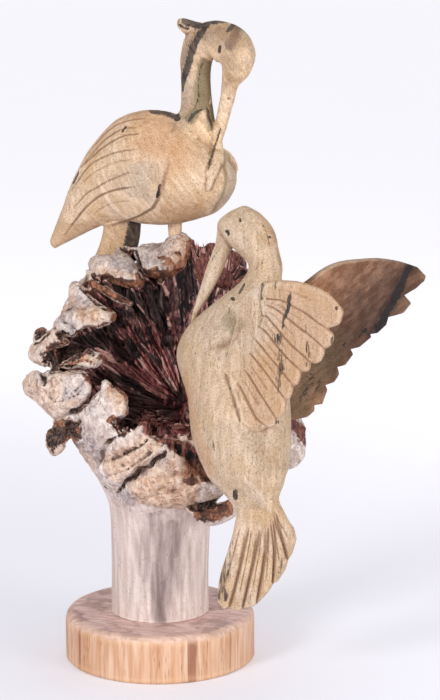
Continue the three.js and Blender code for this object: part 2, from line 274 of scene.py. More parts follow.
@dataclass(frozen=True)
class PhotoView:
    """The view that the photograph was taken from."""

    eye: Triple = EYE
    pitch: float = PITCH
    focal: float = FOCAL

    def axes(self) -> tuple[Array, Array]:
        """Returns the directions ahead and up.

        Returns:
            Two unit vectors.
        """
        tip = math.radians(self.pitch)
        ahead = np.array((0.0, math.cos(tip), -math.sin(tip)))
        return ahead, np.array((0.0, math.sin(tip), math.cos(tip)))

    def pixels(self, points: Array) -> Array:
        """Returns where points appear in the photograph's frame.

        Args:
            points: Points, one a row.

        Returns:
            Column and row of each, in pixels.
        """
        ahead, up = self.axes()
        away = points - np.array(self.eye)
        depth = away @ ahead
        across = WIDTH / 2 + self.focal * away[:, 0] / depth
        return np.stack((across, HEIGHT / 2 - self.focal * (away @ up) / depth), axis=1)

    def onto(self, pixels: Array, origin: Array, normal: Array) -> Array:
        """Returns the points of a plane that appear at the pixels.

        Args:
            pixels: Places in the photograph, one a row.
            origin: A point of the plane.
            normal: The plane's normal.

        Returns:
            One point for each pixel.
        """
        ahead, up = self.axes()
        x = (pixels[..., 0:1] - WIDTH / 2) / self.focal
        y = (HEIGHT / 2 - pixels[..., 1:2]) / self.focal
        ray = ahead + x * np.array((1.0, 0.0, 0.0)) + y * up
        reach = (np.asarray(origin) - self.eye) @ normal / (ray @ normal)
        return np.array(self.eye) + reach[..., None] * ray


PHOTO = PhotoView()


@dataclass(frozen=True)
class BirdPlane:
    """The upright middle plane of a bird."""

    middle: Triple
    face: float
    turn: float
    lean: float

    def axes(self) -> tuple[Array, Array, Array]:
        """Returns forward, up and across.

        Returns:
            Three unit vectors.
        """
        yaw, tip = math.radians(self.turn), math.radians(self.lean)
        forward = np.array((self.face * math.cos(yaw), -self.face * math.sin(yaw), 0.0))
        up = np.array((0.0, math.sin(tip), math.cos(tip)))
        up = unit(up - (up @ forward) * forward)
        return forward, up, np.cross(forward, up)

    def place(self, forward: Array, up: Array) -> Array:
        """Returns points of the plane from forward and up."""
        ahead, high, _ = self.axes()
        return np.array(self.middle) + forward[:, None] * ahead + up[:, None] * high

    def local(self, points: Array) -> Array:
        """Returns forward, up and across of each point."""
        return (points - np.array(self.middle)) @ np.stack(self.axes(), axis=1)


STANDING = BirdPlane((-7.5, 34.0, 306.0), 1.0, 25.0, 0.0)
ALIGHTING = BirdPlane((46.9, -55.0, 200.0), -1.0, 23.0, 13.0)


def inner(share: Array) -> Array:
    """Returns 1 along a body and 0 at its two ends, where it closes in a point."""
    return ((share > 1e-6) & (share < 1.0 - 1e-6)).astype(float)


def sheet(columns: int, rows: int, shape: Callable[[Array, Array], Array]) -> bmesh.types.BMesh:
    """Bends a flat grid into a closed body.

    Args:
        columns: Faces round the body.
        rows: Faces along the body.
        shape: Gives points from the shares round and along.

    Returns:
        The body, with its seam and its ends closed.
    """
    bm = bmesh.new()
    bmesh.ops.create_grid(bm, x_segments=columns, y_segments=rows, size=0.5)
    flat = np.array([vert.co[:2] for vert in bm.verts]) + 0.5
    for vert, place in zip(bm.verts, shape(flat[:, 0], flat[:, 1]) * MM):
        vert.co = place
    bmesh.ops.remove_doubles(bm, verts=bm.verts, dist=2e-7)
    bmesh.ops.dissolve_degenerate(bm, edges=bm.edges, dist=1e-7)
    bmesh.ops.recalc_face_normals(bm, faces=bm.faces)
    return bm


def ring(turns: Array, middle: Array, across: Array, up: Array, reach: Array | float = 1.0) -> Array:
    """Returns points round ellipses with the given half axes.

    Args:
        turns: Shares of a turn.
        middle: The ellipses' middles.
        across: The half axes at turn 0.
        up: The half axes at a quarter turn.
        reach: Shrinks the ellipses.

    Returns:
        One point a row.
    """
    angle = 2.0 * math.pi * turns
    reach = np.broadcast_to(reach, turns.shape)
    return middle + (reach * np.cos(angle))[:, None] * across + (reach * np.sin(angle))[:, None] * up


def limb(plane: BirdPlane, table: Table, columns: int, rows: int) -> bmesh.types.BMesh:
    """Makes a body, neck or beak through the sections of a table.

    Args:
        plane: The bird's middle plane.
        table: The sections.
        columns: Faces round the body.
        rows: Faces along it.

    Returns:
        The closed body.
    """
    _, _, across = plane.axes()

    def shape(turns: Array, share: Array) -> Array:
        """Gives the points of the limb.

        Args:
            turns: Shares of the way round.
            share: Shares of the way along.

        Returns:
            One point a row.
        """
        low, high = 0.5 / rows, 1.0 - 0.5 / rows
        row = row_at(table, (share - low) / (high - low))
        back, belly = plane.place(row[:, 0], row[:, 1]), plane.place(row[:, 2], row[:, 3])
        wide = row[:, 4:5] * across
        return ring(turns, (back + belly) / 2, wide, (back - belly) / 2, inner(share))

    return sheet(columns, rows, shape)


def to_object(name: str, body: bmesh.types.BMesh) -> bpy.types.Object:
    """Turns a bmesh into an object in the scene.

    Args:
        name: The object's name.
        body: Its mesh, which is freed.

    Returns:
        The object.
    """
    mesh = bpy.data.meshes.new(name)
    body.to_mesh(mesh)
    body.free()
    thing = bpy.data.objects.new(name, mesh)
    bpy.context.scene.collection.objects.link(thing)
    return thing


def joined(bodies: Sequence[bmesh.types.BMesh]) -> tuple[bmesh.types.BMesh, list[int]]:
    """Puts bodies into one, each with its own skin.

    Args:
        bodies: The bodies, which are freed.

    Returns:
        The whole, and how many points each body has in it.
    """
    whole, counts = bmesh.new(), []
    for body in bodies:
        part = bpy.data.meshes.new("part")
        body.to_mesh(part)
        body.free()
        counts.append(len(part.vertices))
        whole.from_mesh(part)
        bpy.data.meshes.remove(part)
    return whole, counts


def melded(name: str, bodies: Sequence[bmesh.types.BMesh], voxel: float) -> bpy.types.Object:
    """Melts closed bodies that run into each other into one skin.

    Args:
        name: The object's name.
        bodies: The closed bodies.
        voxel: The size of the new faces.

    Returns:
        The object.
    """
    thing = to_object(name, joined(bodies)[0])
    remesh = thing.modifiers.new("skin", "REMESH")
    remesh.mode = "VOXEL"
    remesh.voxel_size = voxel * MM
    seen = thing.evaluated_get(bpy.context.evaluated_depsgraph_get())
    rough, thing.data = thing.data, bpy.data.meshes.new_from_object(seen)
    thing.modifiers.clear()
    bpy.data.meshes.remove(rough)
    return thing


class Clay:
    """A piece's skin, whose points are pushed about as arrays in millimetres."""

    def __init__(self, thing: bpy.types.Object) -> None:
        """Reads the mesh of an object.

        Args:
            thing: The object.
        """
        self.thing = thing
        self.mesh = thing.data
        self.count = len(self.mesh.vertices)
        flat = np.empty(self.count * 3, np.float32)
        self.mesh.vertices.foreach_get("co", flat)
        self.points = flat.reshape(-1, 3).astype(float) / MM
        ends = np.empty(len(self.mesh.edges) * 2, np.int32)
        self.mesh.edges.foreach_get("vertices", ends)
        self.first, self.second = ends.reshape(-1, 2).T
        self.degree = np.maximum(np.bincount(ends, minlength=self.count), 1)
        self.normals = self.read_normals()

    def read_normals(self) -> Array:
        """Writes the points back and returns the mesh's new normals.

        Returns:
            One normal for each point.
        """
        self.mesh.vertices.foreach_set("co", (self.points * MM).astype(np.float32).ravel())
        self.mesh.update()
        flat = np.empty(self.count * 3, np.float32)
        self.mesh.vertex_normals.foreach_get("vector", flat)
        self.normals = flat.reshape(-1, 3).astype(float)
        return self.normals

    def around(self, values: Array) -> Array:
        """Returns the mean of each point's neighbours.

        Args:
            values: A value or a row for each point.

        Returns:
            The means, in the same form.
        """
        ways = ((self.first, self.second), (self.second, self.first))
        if values.ndim == 1:
            return sum(np.bincount(a, values[b], self.count) for a, b in ways) / self.degree
        return np.stack([self.around(column) for column in values.T], axis=1)

    def smooth(self, rounds: int, weight: Array | float = 1.0) -> None:
        """Evens the skin out, where the weight lets it.

        Args:
            rounds: How often it is done.
            weight: How freely each point moves, 0 to 1.
        """
        weight = np.broadcast_to(weight, self.count)[:, None]
        for _ in range(rounds):
            self.points += 0.5 * weight * (self.around(self.points) - self.points)
        self.read_normals()

    def push(self, amount: Array) -> None:
        """Moves each point along its normal."""
        self.points += amount[:, None] * self.normals
        self.read_normals()

    def hollows(self, rounds: int = 6) -> Array:
        """Returns how sunken each point is, from -1 on an edge to 1 in a recess.

        Args:
            rounds: How wide the surroundings are that count.

        Returns:
            One value for each point.
        """
        mean = self.points
        for _ in range(rounds):
            mean = self.around(mean)
        depth = np.einsum("ij,ij->i", mean - self.points, self.normals)
        depth = depth / (np.percentile(np.abs(depth), 96) + 1e-6)
        return np.clip(self.around(depth), -1.0, 1.0)

    def mark(self, name: str, values: Array) -> None:
        """Stores a value at each point for the materials."""
        layer = self.mesh.attributes.new(name, "FLOAT", "POINT")
        layer.data.foreach_set("value", values.astype(np.float32))

    def finish(self, material: bpy.types.Material, slot: str, node: str) -> bpy.types.Object:
        """Dresses the piece and hands it over.

        Args:
            material: Its finish.
            slot: Not used.
            node: The solid that it stands for.

        Returns:
            The finished object.
        """
        self.read_normals()
        self.mesh.polygons.foreach_set("use_smooth", np.ones(len(self.mesh.polygons), bool))
        self.mesh.materials.clear()
        self.mesh.materials.append(material)
        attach(self.thing, BODY)
        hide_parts(node)
        faces = sum(len(face.vertices) - 2 for face in self.mesh.polygons)
        log.info("%s: %d triangles", self.thing.name, faces)
        return self.thing


@dataclass(frozen=True)
class Stroke:
    """A mark along a path of the photograph's pixels, with its width in pixels."""

    path: Path
    width: float = 2.0
    strength: float = 1.0
    soft: float = 0.5
    taper: float = 0.15

    def cover(self, spots: Array, wobble: Array | float = 0.0) -> Array:
        """Returns how much of the mark lies on each spot, from 0 to its strength.

        Args:
            spots: Places in the photograph, one a row.
            wobble: How far its edge strays, in widths.

        Returns:
            The strength on each spot.
        """
        curve = row_at(self.path, np.linspace(0.0, 1.0, min(5 * len(self.path), 40)))
        gap, share = nearest(curve, spots)
        gap = gap + wobble * self.width
        ends = ease(0.0, self.taper, share) * ease(0.0, self.taper, 1.0 - share) if self.taper else 1.0
        half = self.width / 2
        wide = half * (0.35 + 0.65 * ends)
        fade = ease(0.0, 1.0, (gap - wide * self.soft) / (wide * (2 - self.soft)))
        return self.strength * (1.0 - fade) * (ends > 0)


def marks(table: str) -> tuple[Stroke, ...]:
    """Reads a table of marks.

    Args:
        table: Marks with a semicolon between them. Each is its width, strength, softness and taper,
            as far as they differ from a plain stroke's, then a bar and the pixels of its path.

    Returns:
        The marks, in the table's order.
    """
    rows = (row.split("|") for row in table.split(";"))
    return tuple(Stroke(pairs(path), *map(float, head.split())) for head, path in rows)


def painted(strokes: Sequence[Stroke], spots: Array, wobble: Array | float = 0.0) -> Array:
    """Returns the strongest mark on each spot.

    Args:
        strokes: The marks.
        spots: Places in the photograph, one a row.
        wobble: How far the marks' edges stray, as a share of their width.

    Returns:
        The strength on each spot, 0 where no mark lies.
    """
    cover = np.zeros(len(spots))
    for stroke in strokes:
        cover = np.maximum(cover, stroke.cover(spots, wobble))
    return cover


def facing(points: Array, normals: Array) -> Array:
    """Returns how squarely each point faces the photograph's eye."""
    return np.einsum("ij,ij->i", unit(np.array(EYE) - points), normals)


def cup_axes() -> tuple[Array, Array, Array]:
    """Returns the cup's directions: right, back along the lip, and out of the cup.

    Returns:
        Three unit vectors.
    """
    tip = math.radians(CUP_TILT)
    back = np.array((0.0, math.cos(tip), math.sin(tip)))
    return np.array((1.0, 0.0, 0.0)), back, np.array((0.0, -math.sin(tip), math.cos(tip)))


def trunk_ring(turns: Array, rows: Array, reach: Array) -> Array:
    """Returns points round tilted sections of the trunk.

    Args:
        turns: Shares of a turn.
        rows: A row of the trunk's table for each point.
        reach: Shrinks the sections.

    Returns:
        One point a row.
    """
    tip = np.radians(rows[:, 3])
    up = rows[:, 5:6] * np.stack((np.zeros(len(tip)), np.cos(tip), np.sin(tip)), axis=1)
    return ring(turns, rows[:, :3], rows[:, 4:5] * cup_axes()[0], up, reach)


def hollow_ring(turns: Array, depth: Array, behind: float) -> Array:
    """Returns points on the wall of the hollow.

    Args:
        turns: Shares of a turn round the cup.
        depth: 0 at the throat, 1 at the lip.
        behind: How far behind the wall the points lie.

    Returns:
        One point a row.
    """
    right, back, out = cup_axes()
    bottom, top = np.array(THROAT), np.array(CUP_MIDDLE)
    middle = bottom + depth[:, None] * (top - bottom) - behind * out
    reach = (WIDE + behind) * np.maximum(depth, 0.0) ** FLARE
    return ring(turns, middle, right, back, reach)


def in_cup(points: Array) -> tuple[Array, Array, Array]:
    """Returns each point's turn round the cup, its depth share and its room inside the hollow.

    Args:
        points: Points, one a row.

    Returns:
        Angles in radians, shares and millimetres.
    """
    right, back, out = cup_axes()
    bottom, top = np.array(THROAT), np.array(CUP_MIDDLE)
    depth = 1.0 + (points - top) @ out / ((top - bottom) @ out)
    away = points - (bottom + depth[:, None] * (top - bottom))
    turn = np.arctan2(away @ back, away @ right)
    room = WIDE * np.maximum(depth, 0.0) ** FLARE - np.hypot(away @ right, away @ back)
    return turn, depth, room


@dataclass(frozen=True)
class Nub:
    """A lobe of bark whose outline is where the photograph shows it.

    Its middle lies away millimetres back, and its face looks up by lift and to the left by turn.
    """

    outline: Path
    away: float
    lift: float = 25.0
    turn: float = 0.0
    thick: float = 10.0
    boxy: float = 0.62

    def body(self) -> bmesh.types.BMesh:
        """Returns the closed body.

        Returns:
            The body, whose outline lies under the photograph's.
        """
        lift, turn = math.radians(self.lift), math.radians(self.turn)
        level = math.cos(lift)
        normal = np.array((-math.sin(turn) * level, -math.cos(turn) * level, math.sin(lift)))
        corners = np.array(self.outline, float)
        plain = np.array((0.0, -1.0, 0.0))
        middle = PHOTO.onto(corners.mean(axis=0)[None], np.array((0.0, self.away, 0.0)), plain)[0]
        closed = np.concatenate((corners[-1:], corners, corners[:2]))
        curve = even(row_at(closed, np.linspace(1.0, len(closed) - 2.0, 300) / (len(closed) - 1)), 121)
        edge = PHOTO.onto(curve, middle, normal)
        toward = unit(np.array(EYE) - middle)

        def shape(turns: Array, share: Array) -> Array:
            """Gives the points of the nub.

            Args:
                turns: Shares of the way round.
                share: Shares of the way along.

            Returns:
                One point a row.
            """
            polar = math.pi * share
            place = np.stack([np.interp(turns, np.linspace(0.0, 1.0, 121), axis) for axis in edge.T], axis=1)
            reach = np.sin(polar) ** self.boxy * inner(share)
            rise = np.sign(np.cos(polar)) * np.abs(np.cos(polar)) ** 1.15
            return middle + reach[:, None] * (place - middle) + (self.thick * rise)[:, None] * toward

        return sheet(120, 40, shape)


def knobs(table: str) -> tuple[Nub, ...]:
    """Reads a table of nubs.

    Args:
        table: Nubs with a semicolon between them. Each is its away, lift, turn, thick and boxy, as far
            as they differ from a plain nub's, then a bar and the pixels of its outline.

    Returns:
        The nubs, in the table's order.
    """
    rows = (row.split("|") for row in table.split(";"))
    return tuple(Nub(pairs(outline), *map(float, head.split())) for head, outline in rows)


@dataclass
class Burl:
    """The stem and the cup-shaped burl above it, with its lobes of bark.

    Behind back, in millimetres, nothing is painted, and the stem turns to bark over bark_from's heights.
    The grids are the faces round and along each body.
    """

    voxel: float = 1.2
    wall: float = 5.5
    lip_rows: float = 0.62
    overlap: float = 1.06
    square: float = 0.85
    back: float = 75.0
    bark_from: tuple[float, float] = (94.0, 112.0)
    first_lobe: int = 16
    cup_grid: tuple[int, int] = (200, 150)
    lobe_grid: tuple[int, int] = (36, 24)
    stem_grid: tuple[int, int] = (300, 170)
    nubs: tuple[Nub, ...] = knobs("""
    33 30 0 11 | 135 252 141 247 155 248 166 241 172 236 182 232 189 236 193 243 190 253 187 261 184 270 176
      276 162 279 148 277 141 272 137 261;
    23 30 15 | 89 265 93 258 103 256 113 255 120 253 125 254 131 258 137 266 141 275 141 286 130 288 115 284
      101 278 93 272;
    40 30 10 7 | 111 256 115 248 120 243 126 242 130 247 133 253 128 258 118 258;
    13 30 10 6 | 85 271 91 272 96 279 103 282 112 288 122 295 134 306 126 304 114 300 103 295 96 290 90 290
      88 283;
    9 30 10 9 | 68 298 68 288 71 282 76 280 80 284 86 290 93 298 101 304 106 310 96 313 84 311 72 310;
    -5 20 15 | 52 325 57 318 64 312 72 309 84 306 96 306 104 308 112 311 116 317 113 321 107 325 98 327 90
      326 83 328 78 333 71 336 62 334 56 331;
    6 20 20 6 | 33 341 34 335 38 331 45 328 49 331 47 337 41 341 36 344;
    -10 20 25 | 31 356 32 348 37 342 43 337 49 330 53 329 60 335 66 339 71 342 66 345 57 347 51 352 47 358
      47 367 41 365 34 361;
    0 40 0 6 | 44 366 46 356 54 349 66 344 82 344 90 348 84 354 70 360 58 366;
    -20 25 15 6 | 60 367 68 360 76 355 84 353 87 349 91 351 97 354 102 357 100 362 96 367 88 367 78 366 70
      368;
    -24 12 25 13 | 22 383 25 377 31 373 38 372 43 376 47 371 54 370 64 372 72 371 81 371 87 375 90 381 91
      389 88 397 82 404 76 410 68 414 58 418 52 420 46 412 38 404 30 396 24 391;
    -24 0 25 7 | 53 421 60 416 70 413 80 417 79 423 70 427 60 428 54 426;
    -37 2 22 11 .5 | 103 383 107 381 110 386 116 388 122 391 127 396 129 403 129 410 126 417 119 418 114 421
      118 424 120 429 120 434 113 438 108 443 102 452 94 458 85 452 76 444 71 434 76 424 82 415 86 407 92
      400 99 394 103 389;
    -24 0 35 9 | 45 440 46 433 50 429 56 426 63 427 67 425 70 430 69 438 66 443 66 448 60 453 55 456 49 450
      45 446;
    -42 -5 15 8 .42 | 101 458 108 450 118 445 128 438 136 430 143 420 148 422 150 432 146 439 136 444 124
      449 114 455 105 461;
    -44 -10 15 9 .42 | 96 468 104 461 116 458 128 453 140 445 150 437 155 438 160 445 152 451 142 458 130
      464 118 470 106 475 98 474;
    -45 -20 10 9 .42 | 102 480 110 475 122 470 134 464 146 457 157 450 166 444 169 446 163 453 152 459 142
      467 130 476 118 486 108 486;
    -40 -28 0 15 .5 | 120 492 128 483 138 475 148 467 158 460 166 452 170 446 176 448 183 454 190 462 198
      470 210 478 222 486 224 494 212 502 196 508 182 511 165 510 150 508 137 504 126 500;
    -36 5 -10 9 | 186 511 200 508 214 505 226 501 236 496 239 506 236 516 226 522 212 526 203 524 194 517
    """)
    # Cracks and gaps between the lobes: cut in, and painted near black as shade.
    gaps: tuple[Stroke, ...] = marks("""
    4 | 134 248 136 258 140 270 142 280;
    4 .9 | 98 277 108 283 118 289 130 292;
    2.5 .8 | 91 273 97 280 104 283;
    2.5 .8 | 78 285 88 294 97 303 108 311;
    4.5 | 57 333 64 336 74 338 84 333 100 330 114 324;
    4 | 44 369 58 369 74 369 88 372 97 381;
    3.5 .9 | 41 371 44 379 43 386;
    3.2 | 100 386 92 396 84 405 77 411 69 413;
    3 .9 | 80 419 76 425 68 427;
    7 | 114 420 118 424 123 424 121 431 126 434;
    2 .8 | 120 436 113 439 108 443;
    1.8 .8 | 122 454 132 450 141 445 148 438;
    1.4 .4 | 104 461 118 457 128 453;
    1.4 .4 | 105 477 124 471 140 461 154 450;
    2.2 .85 .2 | 117 493 122 488 126 481 136 476 140 470 150 466 156 459 163 456 167 449;
    5 | 190 510 206 506 220 501 231 494;
    2.4 .7 | 128 500 142 507 164 511 186 511;
    5 .7 | 199 519 206 523;
    13 1 .6 0 | 50 441 57 435 67 431;
    15 .75 .4 0 | 50 360 62 352 78 346 98 342;
    3.4 .8 .3 0 | 95 292 108 300 126 306;
    3.5 .9 | 58 444 64 441 66 446;
    9 .7 .4 0 | 35 338 43 332;
    4 .9 | 120 245 126 250 130 255;
    1.6 .45 | 62 392 70 394 76 390 84 382 89 378;
    1.4 .4 | 68 398 76 396 82 389;
    1.4 .35 | 48 396 56 402 66 400;
    1.6 .5 | 62 320 70 325 76 331
    """)
    brown: tuple[Stroke, ...] = marks("""
    9 .95 .85 0 | 143 276 158 277 174 274 183 267;
    9 .95 .85 0 | 104 280 120 285 142 286;
    7 .9 .6 | 192 240 190 254 186 266;
    12 1 .4 | 196 452 192 468 191 486;
    12 .75 .4 | 206 458 207 482;
    5 .8 | 91 292 102 303 114 311;
    7 .85 | 88 280 98 288 116 297 130 304;
    3.6 .6 | 108 383 124 392 129 404 126 417;
    7 .8 | 145 419 152 430 164 440 190 452;
    15 1 .9 | 50 359 60 352 74 347 90 345;
    3 .7 | 46 367 60 368 84 360 96 366;
    12 1 .8 | 194 514 212 513 232 504;
    3 .7 | 106 323 96 328 84 329;
    16 1 .8 0 | 48 436 58 434 70 432;
    9 .9 .6 0 | 38 333 44 332;
    9 1 .6 0 | 292 424 300 430 308 440;
    7 .9 .5 0 | 112 420 118 426
    """)
    warm: tuple[Stroke, ...] = marks("""
    34 .9 .4 | 128 494 160 488 200 498;
    26 .9 .4 | 172 456 184 472 196 490;
    24 .75 .4 | 104 470 130 458 160 442;
    17 .9 .4 | 76 313 94 316 110 316;
    16 .9 .4 | 176 238 184 250 176 266;
    15 .8 .4 | 106 386 122 400 124 414;
    9 .7 .3 | 96 269 112 273 136 275;
    10 .7 .3 | 23 384 34 378 38 388;
    12 .5 .3 | 60 408 72 402;
    9 1 .4 | 64 366 84 358 98 360
    """)
    grey: tuple[Stroke, ...] = marks("""
    16 .8 .3 | 72 428 88 446 104 456;
    12 .5 .3 | 84 412 94 404;
    9 .7 .3 | 62 394 74 394 86 384;
    12 .75 .3 | 110 262 124 266 132 272;
    10 .8 .3 | 74 298 90 302;
    11 .75 .3 | 56 322 66 326 78 330;
    8 .5 .3 | 36 358 44 348;
    16 .5 .3 | 140 256 156 264 170 268;
    9 .8 .3 | 40 372 46 384;
    8 .7 .3 | 116 254 122 246;
    9 .9 .3 | 118 490 126 497 136 503;
    6 .8 .3 | 128 482 146 468;
    32 1 0 .4 | 154 512 158 535 160 570 164 640;
    10 .5 .2 | 146 512 143 540 142 580;
    12 .7 .2 | 170 520 176 540 172 560
    """)
    bare: tuple[Stroke, ...] = marks("""
    24 1 .7 0 | 206 232 206 264;
    44 1 .7 0 | 222 244 240 262 236 290 215 304;
    12 1 .7 0 | 283 272 294 278;
    11 1 .7 0 | 148 428 162 434 178 446 200 456 208 464;
    8 1 .6 0 | 290 424 299 430 306 436;
    9 1 .6 0 | 104 336 112 330;
    6 1 .6 0 | 88 378 99 382;
    10 .9 .6 0 | 74 352 90 345
    """)
    ripples: Stroke = Stroke(pairs("112 476 130 462 152 444"), 34.0, 1.0, 0.3, 0.0)
    stain_lines: tuple[Stroke, ...] = marks("""
    4 .45 .1 | 163 572 162 588 165 606;
    2.4 .6 .3 | 143 514 146 530 144 550;
    4 .5 .3 | 166 524 170 536 172 552
    """)

    def cup(self, turns: Array, share: Array) -> Array:
        """Gives the points of the trumpet and the wall of its hollow.

        Args:
            turns: Shares of the way round.
            share: Shares of the way along.

        Returns:
            One point a row.
        """
        slim = 1.0 - 0.09 * np.exp(-(((turns - 0.44) / 0.05) ** 2)) * ease(0.3, 0.5, share)
        reach = np.clip(share / 0.02, 0.0, 1.0) * 0.985 * slim
        outer = trunk_ring(turns, row_at(TRUNK[2:], share / self.lip_rows), reach)
        depth = self.overlap * np.clip((1.0 - share) / (1.0 - self.lip_rows), 0.0, 1.0)
        return np.where((share > self.lip_rows)[:, None], hollow_ring(turns, depth, self.wall), outer)

    def lobe(self, row: Sequence[float], index: int) -> bmesh.types.BMesh:
        """Makes one lumpy lobe at the side that the photograph doesn't show.

        Args:
            row: Its row of the table.
            index: Sets its lumps apart from the others'.

        Returns:
            The closed body.
        """
        angle, reach, lift, long, wide, thick, lean = row
        right, back, out = cup_axes()
        turn, tip = math.radians(angle), math.radians(lean)
        outward = math.cos(turn) * right + math.sin(turn) * back
        middle = np.array(CUP_MIDDLE) + reach * outward + lift * out
        length = math.cos(tip) * outward - math.sin(tip) * out
        height = math.sin(tip) * outward + math.cos(tip) * out
        width = np.cross(height, length)

        def shape(turns: Array, share: Array) -> Array:
            """Gives the points of the lobe.

            Args:
                turns: Shares of the way round.
                share: Shares of the way along.

            Returns:
                One point a row.
            """
            polar, azimuth = math.pi * share, 2.0 * math.pi * turns
            level = np.sin(polar)
            ball = np.stack((np.cos(polar), level * np.cos(azimuth), level * np.sin(azimuth)), axis=1)
            x, y, z = (np.sign(ball) * np.abs(ball) ** self.square).T
            lump = 1.0 + 0.1 * np.sin(3 * x + 2 * y + 1.7 * index) * np.cos(2.6 * z + index)
            cleft = 0.16 * np.exp(-(((y - 0.25 * math.sin(5.0 * index)) / 0.2) ** 2)) * ease(-0.3, 0.7, x)
            sag = 0.22 * ease(0.0, 1.0, x) ** 2
            along, side, rise = lump * long * x, lump * (1 - 0.18 * x) * wide * y, lump * thick * (z - sag)
            rise = rise - cleft * thick
            return middle + along[:, None] * length + side[:, None] * width + rise[:, None] * height

        return sheet(*self.lobe_grid, shape)

    def build(self) -> list[bpy.types.Object]:
        """Makes the burl and the stem and dresses them.

        Returns:
            Both pieces.
        """
        finish = Bark().build()
        nubs = [nub.body() for nub in self.nubs]
        lobes = [self.lobe(row, index) for index, row in enumerate(LOBES, self.first_lobe)]
        clay = Clay(melded("burl", [sheet(*self.cup_grid, self.cup), *nubs, *lobes], self.voxel))
        clay.smooth(2)
        facing_eye = ease(0.0, 0.2, facing(clay.points, clay.normals))
        clay.smooth(14, facing_eye * self.ripples.cover(PHOTO.pixels(clay.points)))
        bark = ease(*self.bark_from, clay.points[:, 2] + 4.0 * lumps(clay.points, 16.0, 3))
        turn, depth, room = in_cup(clay.points)
        inside = ease(-9.0, -2.0, room) * (1.0 - ease(0.93, 1.0, depth))
        round_cup = np.stack((60 * np.cos(turn), 60 * np.sin(turn), 50 * depth), axis=1)
        outside = bark * (1.0 - inside)
        clay.push(outside * (1.3 * lumps(clay.points, 13.0, 5, 2) + 0.7 * lumps(clay.points, 5.5, 6, 2)))
        twisted = clay.points + 3.0 * np.stack([lumps(clay.points, 11.0, 80 + k) for k in range(3)], axis=1)
        wrinkle = 1.0 - 2.4 * np.abs(lumps(twisted * (1.0, 1.0, 0.55), (5.0, 5.0, 5.0), 8, 2))
        clay.push(outside * (0.42 * wrinkle + 0.22 * lumps(clay.points, 2.3, 9)))
        spots = PHOTO.pixels(clay.points)
        seen = ease(0.0, 0.25, facing(clay.points, clay.normals)) * (clay.points[:, 1] < self.back)
        wobble = 0.45 * lumps(clay.points, 2.6, 13, 2)
        marks = {
            # The crack mark is painted shade in the cracks and gaps between lobes.
            "crack": painted(self.gaps, spots, wobble),
            "brown": painted(self.brown, spots, 0.18 * lumps(clay.points, 3.0, 14, 3)),
            "warm": painted(self.warm, spots, 0.3 * lumps(clay.points, 4.5, 15, 3)),
            "grey": painted(self.grey, spots, 0.35 * lumps(clay.points, 4.5, 16, 3)),
        }
        marks = {name: seen * cover for name, cover in marks.items()}
        bare = seen * painted(self.bare, spots, 0.2 * lumps(clay.points, 4.0, 28, 2))
        fibre = lumps(round_cup, (1.5, 1.5, 13.0), 17, 2) + 0.8 * lumps(round_cup, (4.0, 4.0, 40.0), 29)
        clay.push(-2.6 * marks["crack"] + (0.9 * marks["brown"] + 1.6 * bare) * fibre)
        self.stain(clay, bark, np.maximum(inside, bare), marks)
        return [clay.finish(finish, "carved_wood", "carving"), self.stem(finish)]

    def stain(self, clay: Clay, bark: Array, inside: Array, marks: dict[str, Array]) -> None:
        """Stores where the skin is bark, broken or part of the hollow, and where cracks and gaps between
        lobes get painted shade.

        Args:
            clay: The burl's skin.
            bark: How much bark is at each point.
            inside: How much of the hollow is there.
            marks: The painted marks by name.
        """
        clay.read_normals()
        turn, _, room = in_cup(clay.points)
        right, back, _ = cup_axes()
        outward = np.cos(turn)[:, None] * right + np.sin(turn)[:, None] * back
        inward = -np.einsum("ij,ij->i", clay.normals, outward)
        patch = lumps(clay.points, 9.0, 18, 3)
        raw = ease(0.2, 0.8, inward + 0.35 * patch) * ease(-36.0, -12.0, room) * bark
        clay.mark("tone", 0.5 + 0.5 * lumps(clay.points, 5.0, 30, 2))
        marks["brown"] = np.maximum(marks["brown"], 0.75 * ease(0.5, 1.0, raw))
        marks["warm"] = np.maximum(marks["warm"], 0.7 * raw)
        for name, cover in marks.items():
            clay.mark(name, np.clip(cover, 0.0, 1.0))
        clay.mark("bark", bark)
        clay.mark("smoke", marks["grey"] * (1.0 - bark))
        clay.mark("fibre", ease(0.35, 0.75, inside + 0.2 * patch))
        clay.mark("relief", clay.hollows(6))

    def stem(self, finish: bpy.types.Material) -> bpy.types.Object:
        """Makes the stem below the burl.

        Args:
            finish: The burl's material.

        Returns:
            The piece.
        """

        def shape(turns: Array, share: Array) -> Array:
            """Gives the points of the stem.

            Args:
                turns: Shares of the way round.
                share: Shares of the way along.

            Returns:
                One point a row.
            """
            row = row_at(TRUNK[:5], np.clip((share - 0.04) / 0.92, 0.0, 1.0))
            lid = np.clip(share / 0.04, 0.0, 1.0) * np.clip((1.0 - share) / 0.04, 0.0, 1.0)
            return trunk_ring(turns, row, lid)

        clay = Clay(to_object("stem", sheet(*self.stem_grid, shape)))
        long = clay.points * (1.0, 1.0, 0.1)
        side = ease(FOOT, FOOT + 2.0, clay.points[:, 2])
        clay.push(side * (0.45 * lumps(long, 9.0, 11, 2) + 0.12 * lumps(long, 2.2, 12) - 0.1))
        clay.points[:, 2] = np.maximum(clay.points[:, 2], FOOT)
        spots = PHOTO.pixels(clay.points)
        seen = ease(0.0, 0.25, facing(clay.points, clay.normals))
        drawn = clay.points * (1.0, 1.0, 0.22)
        smoke = painted((*self.grey, *self.stain_lines), spots, 0.35 * lumps(drawn, 4.0, 19, 3))
        clay.mark("smoke", seen * smoke)
        for name in ("bark", "fibre", "brown", "warm", "grey", "crack"):
            clay.mark(name, np.zeros(clay.count))
        clay.mark("relief", 0.5 * clay.hollows(4))
        return clay.finish(finish, "carved_wood", "carving")


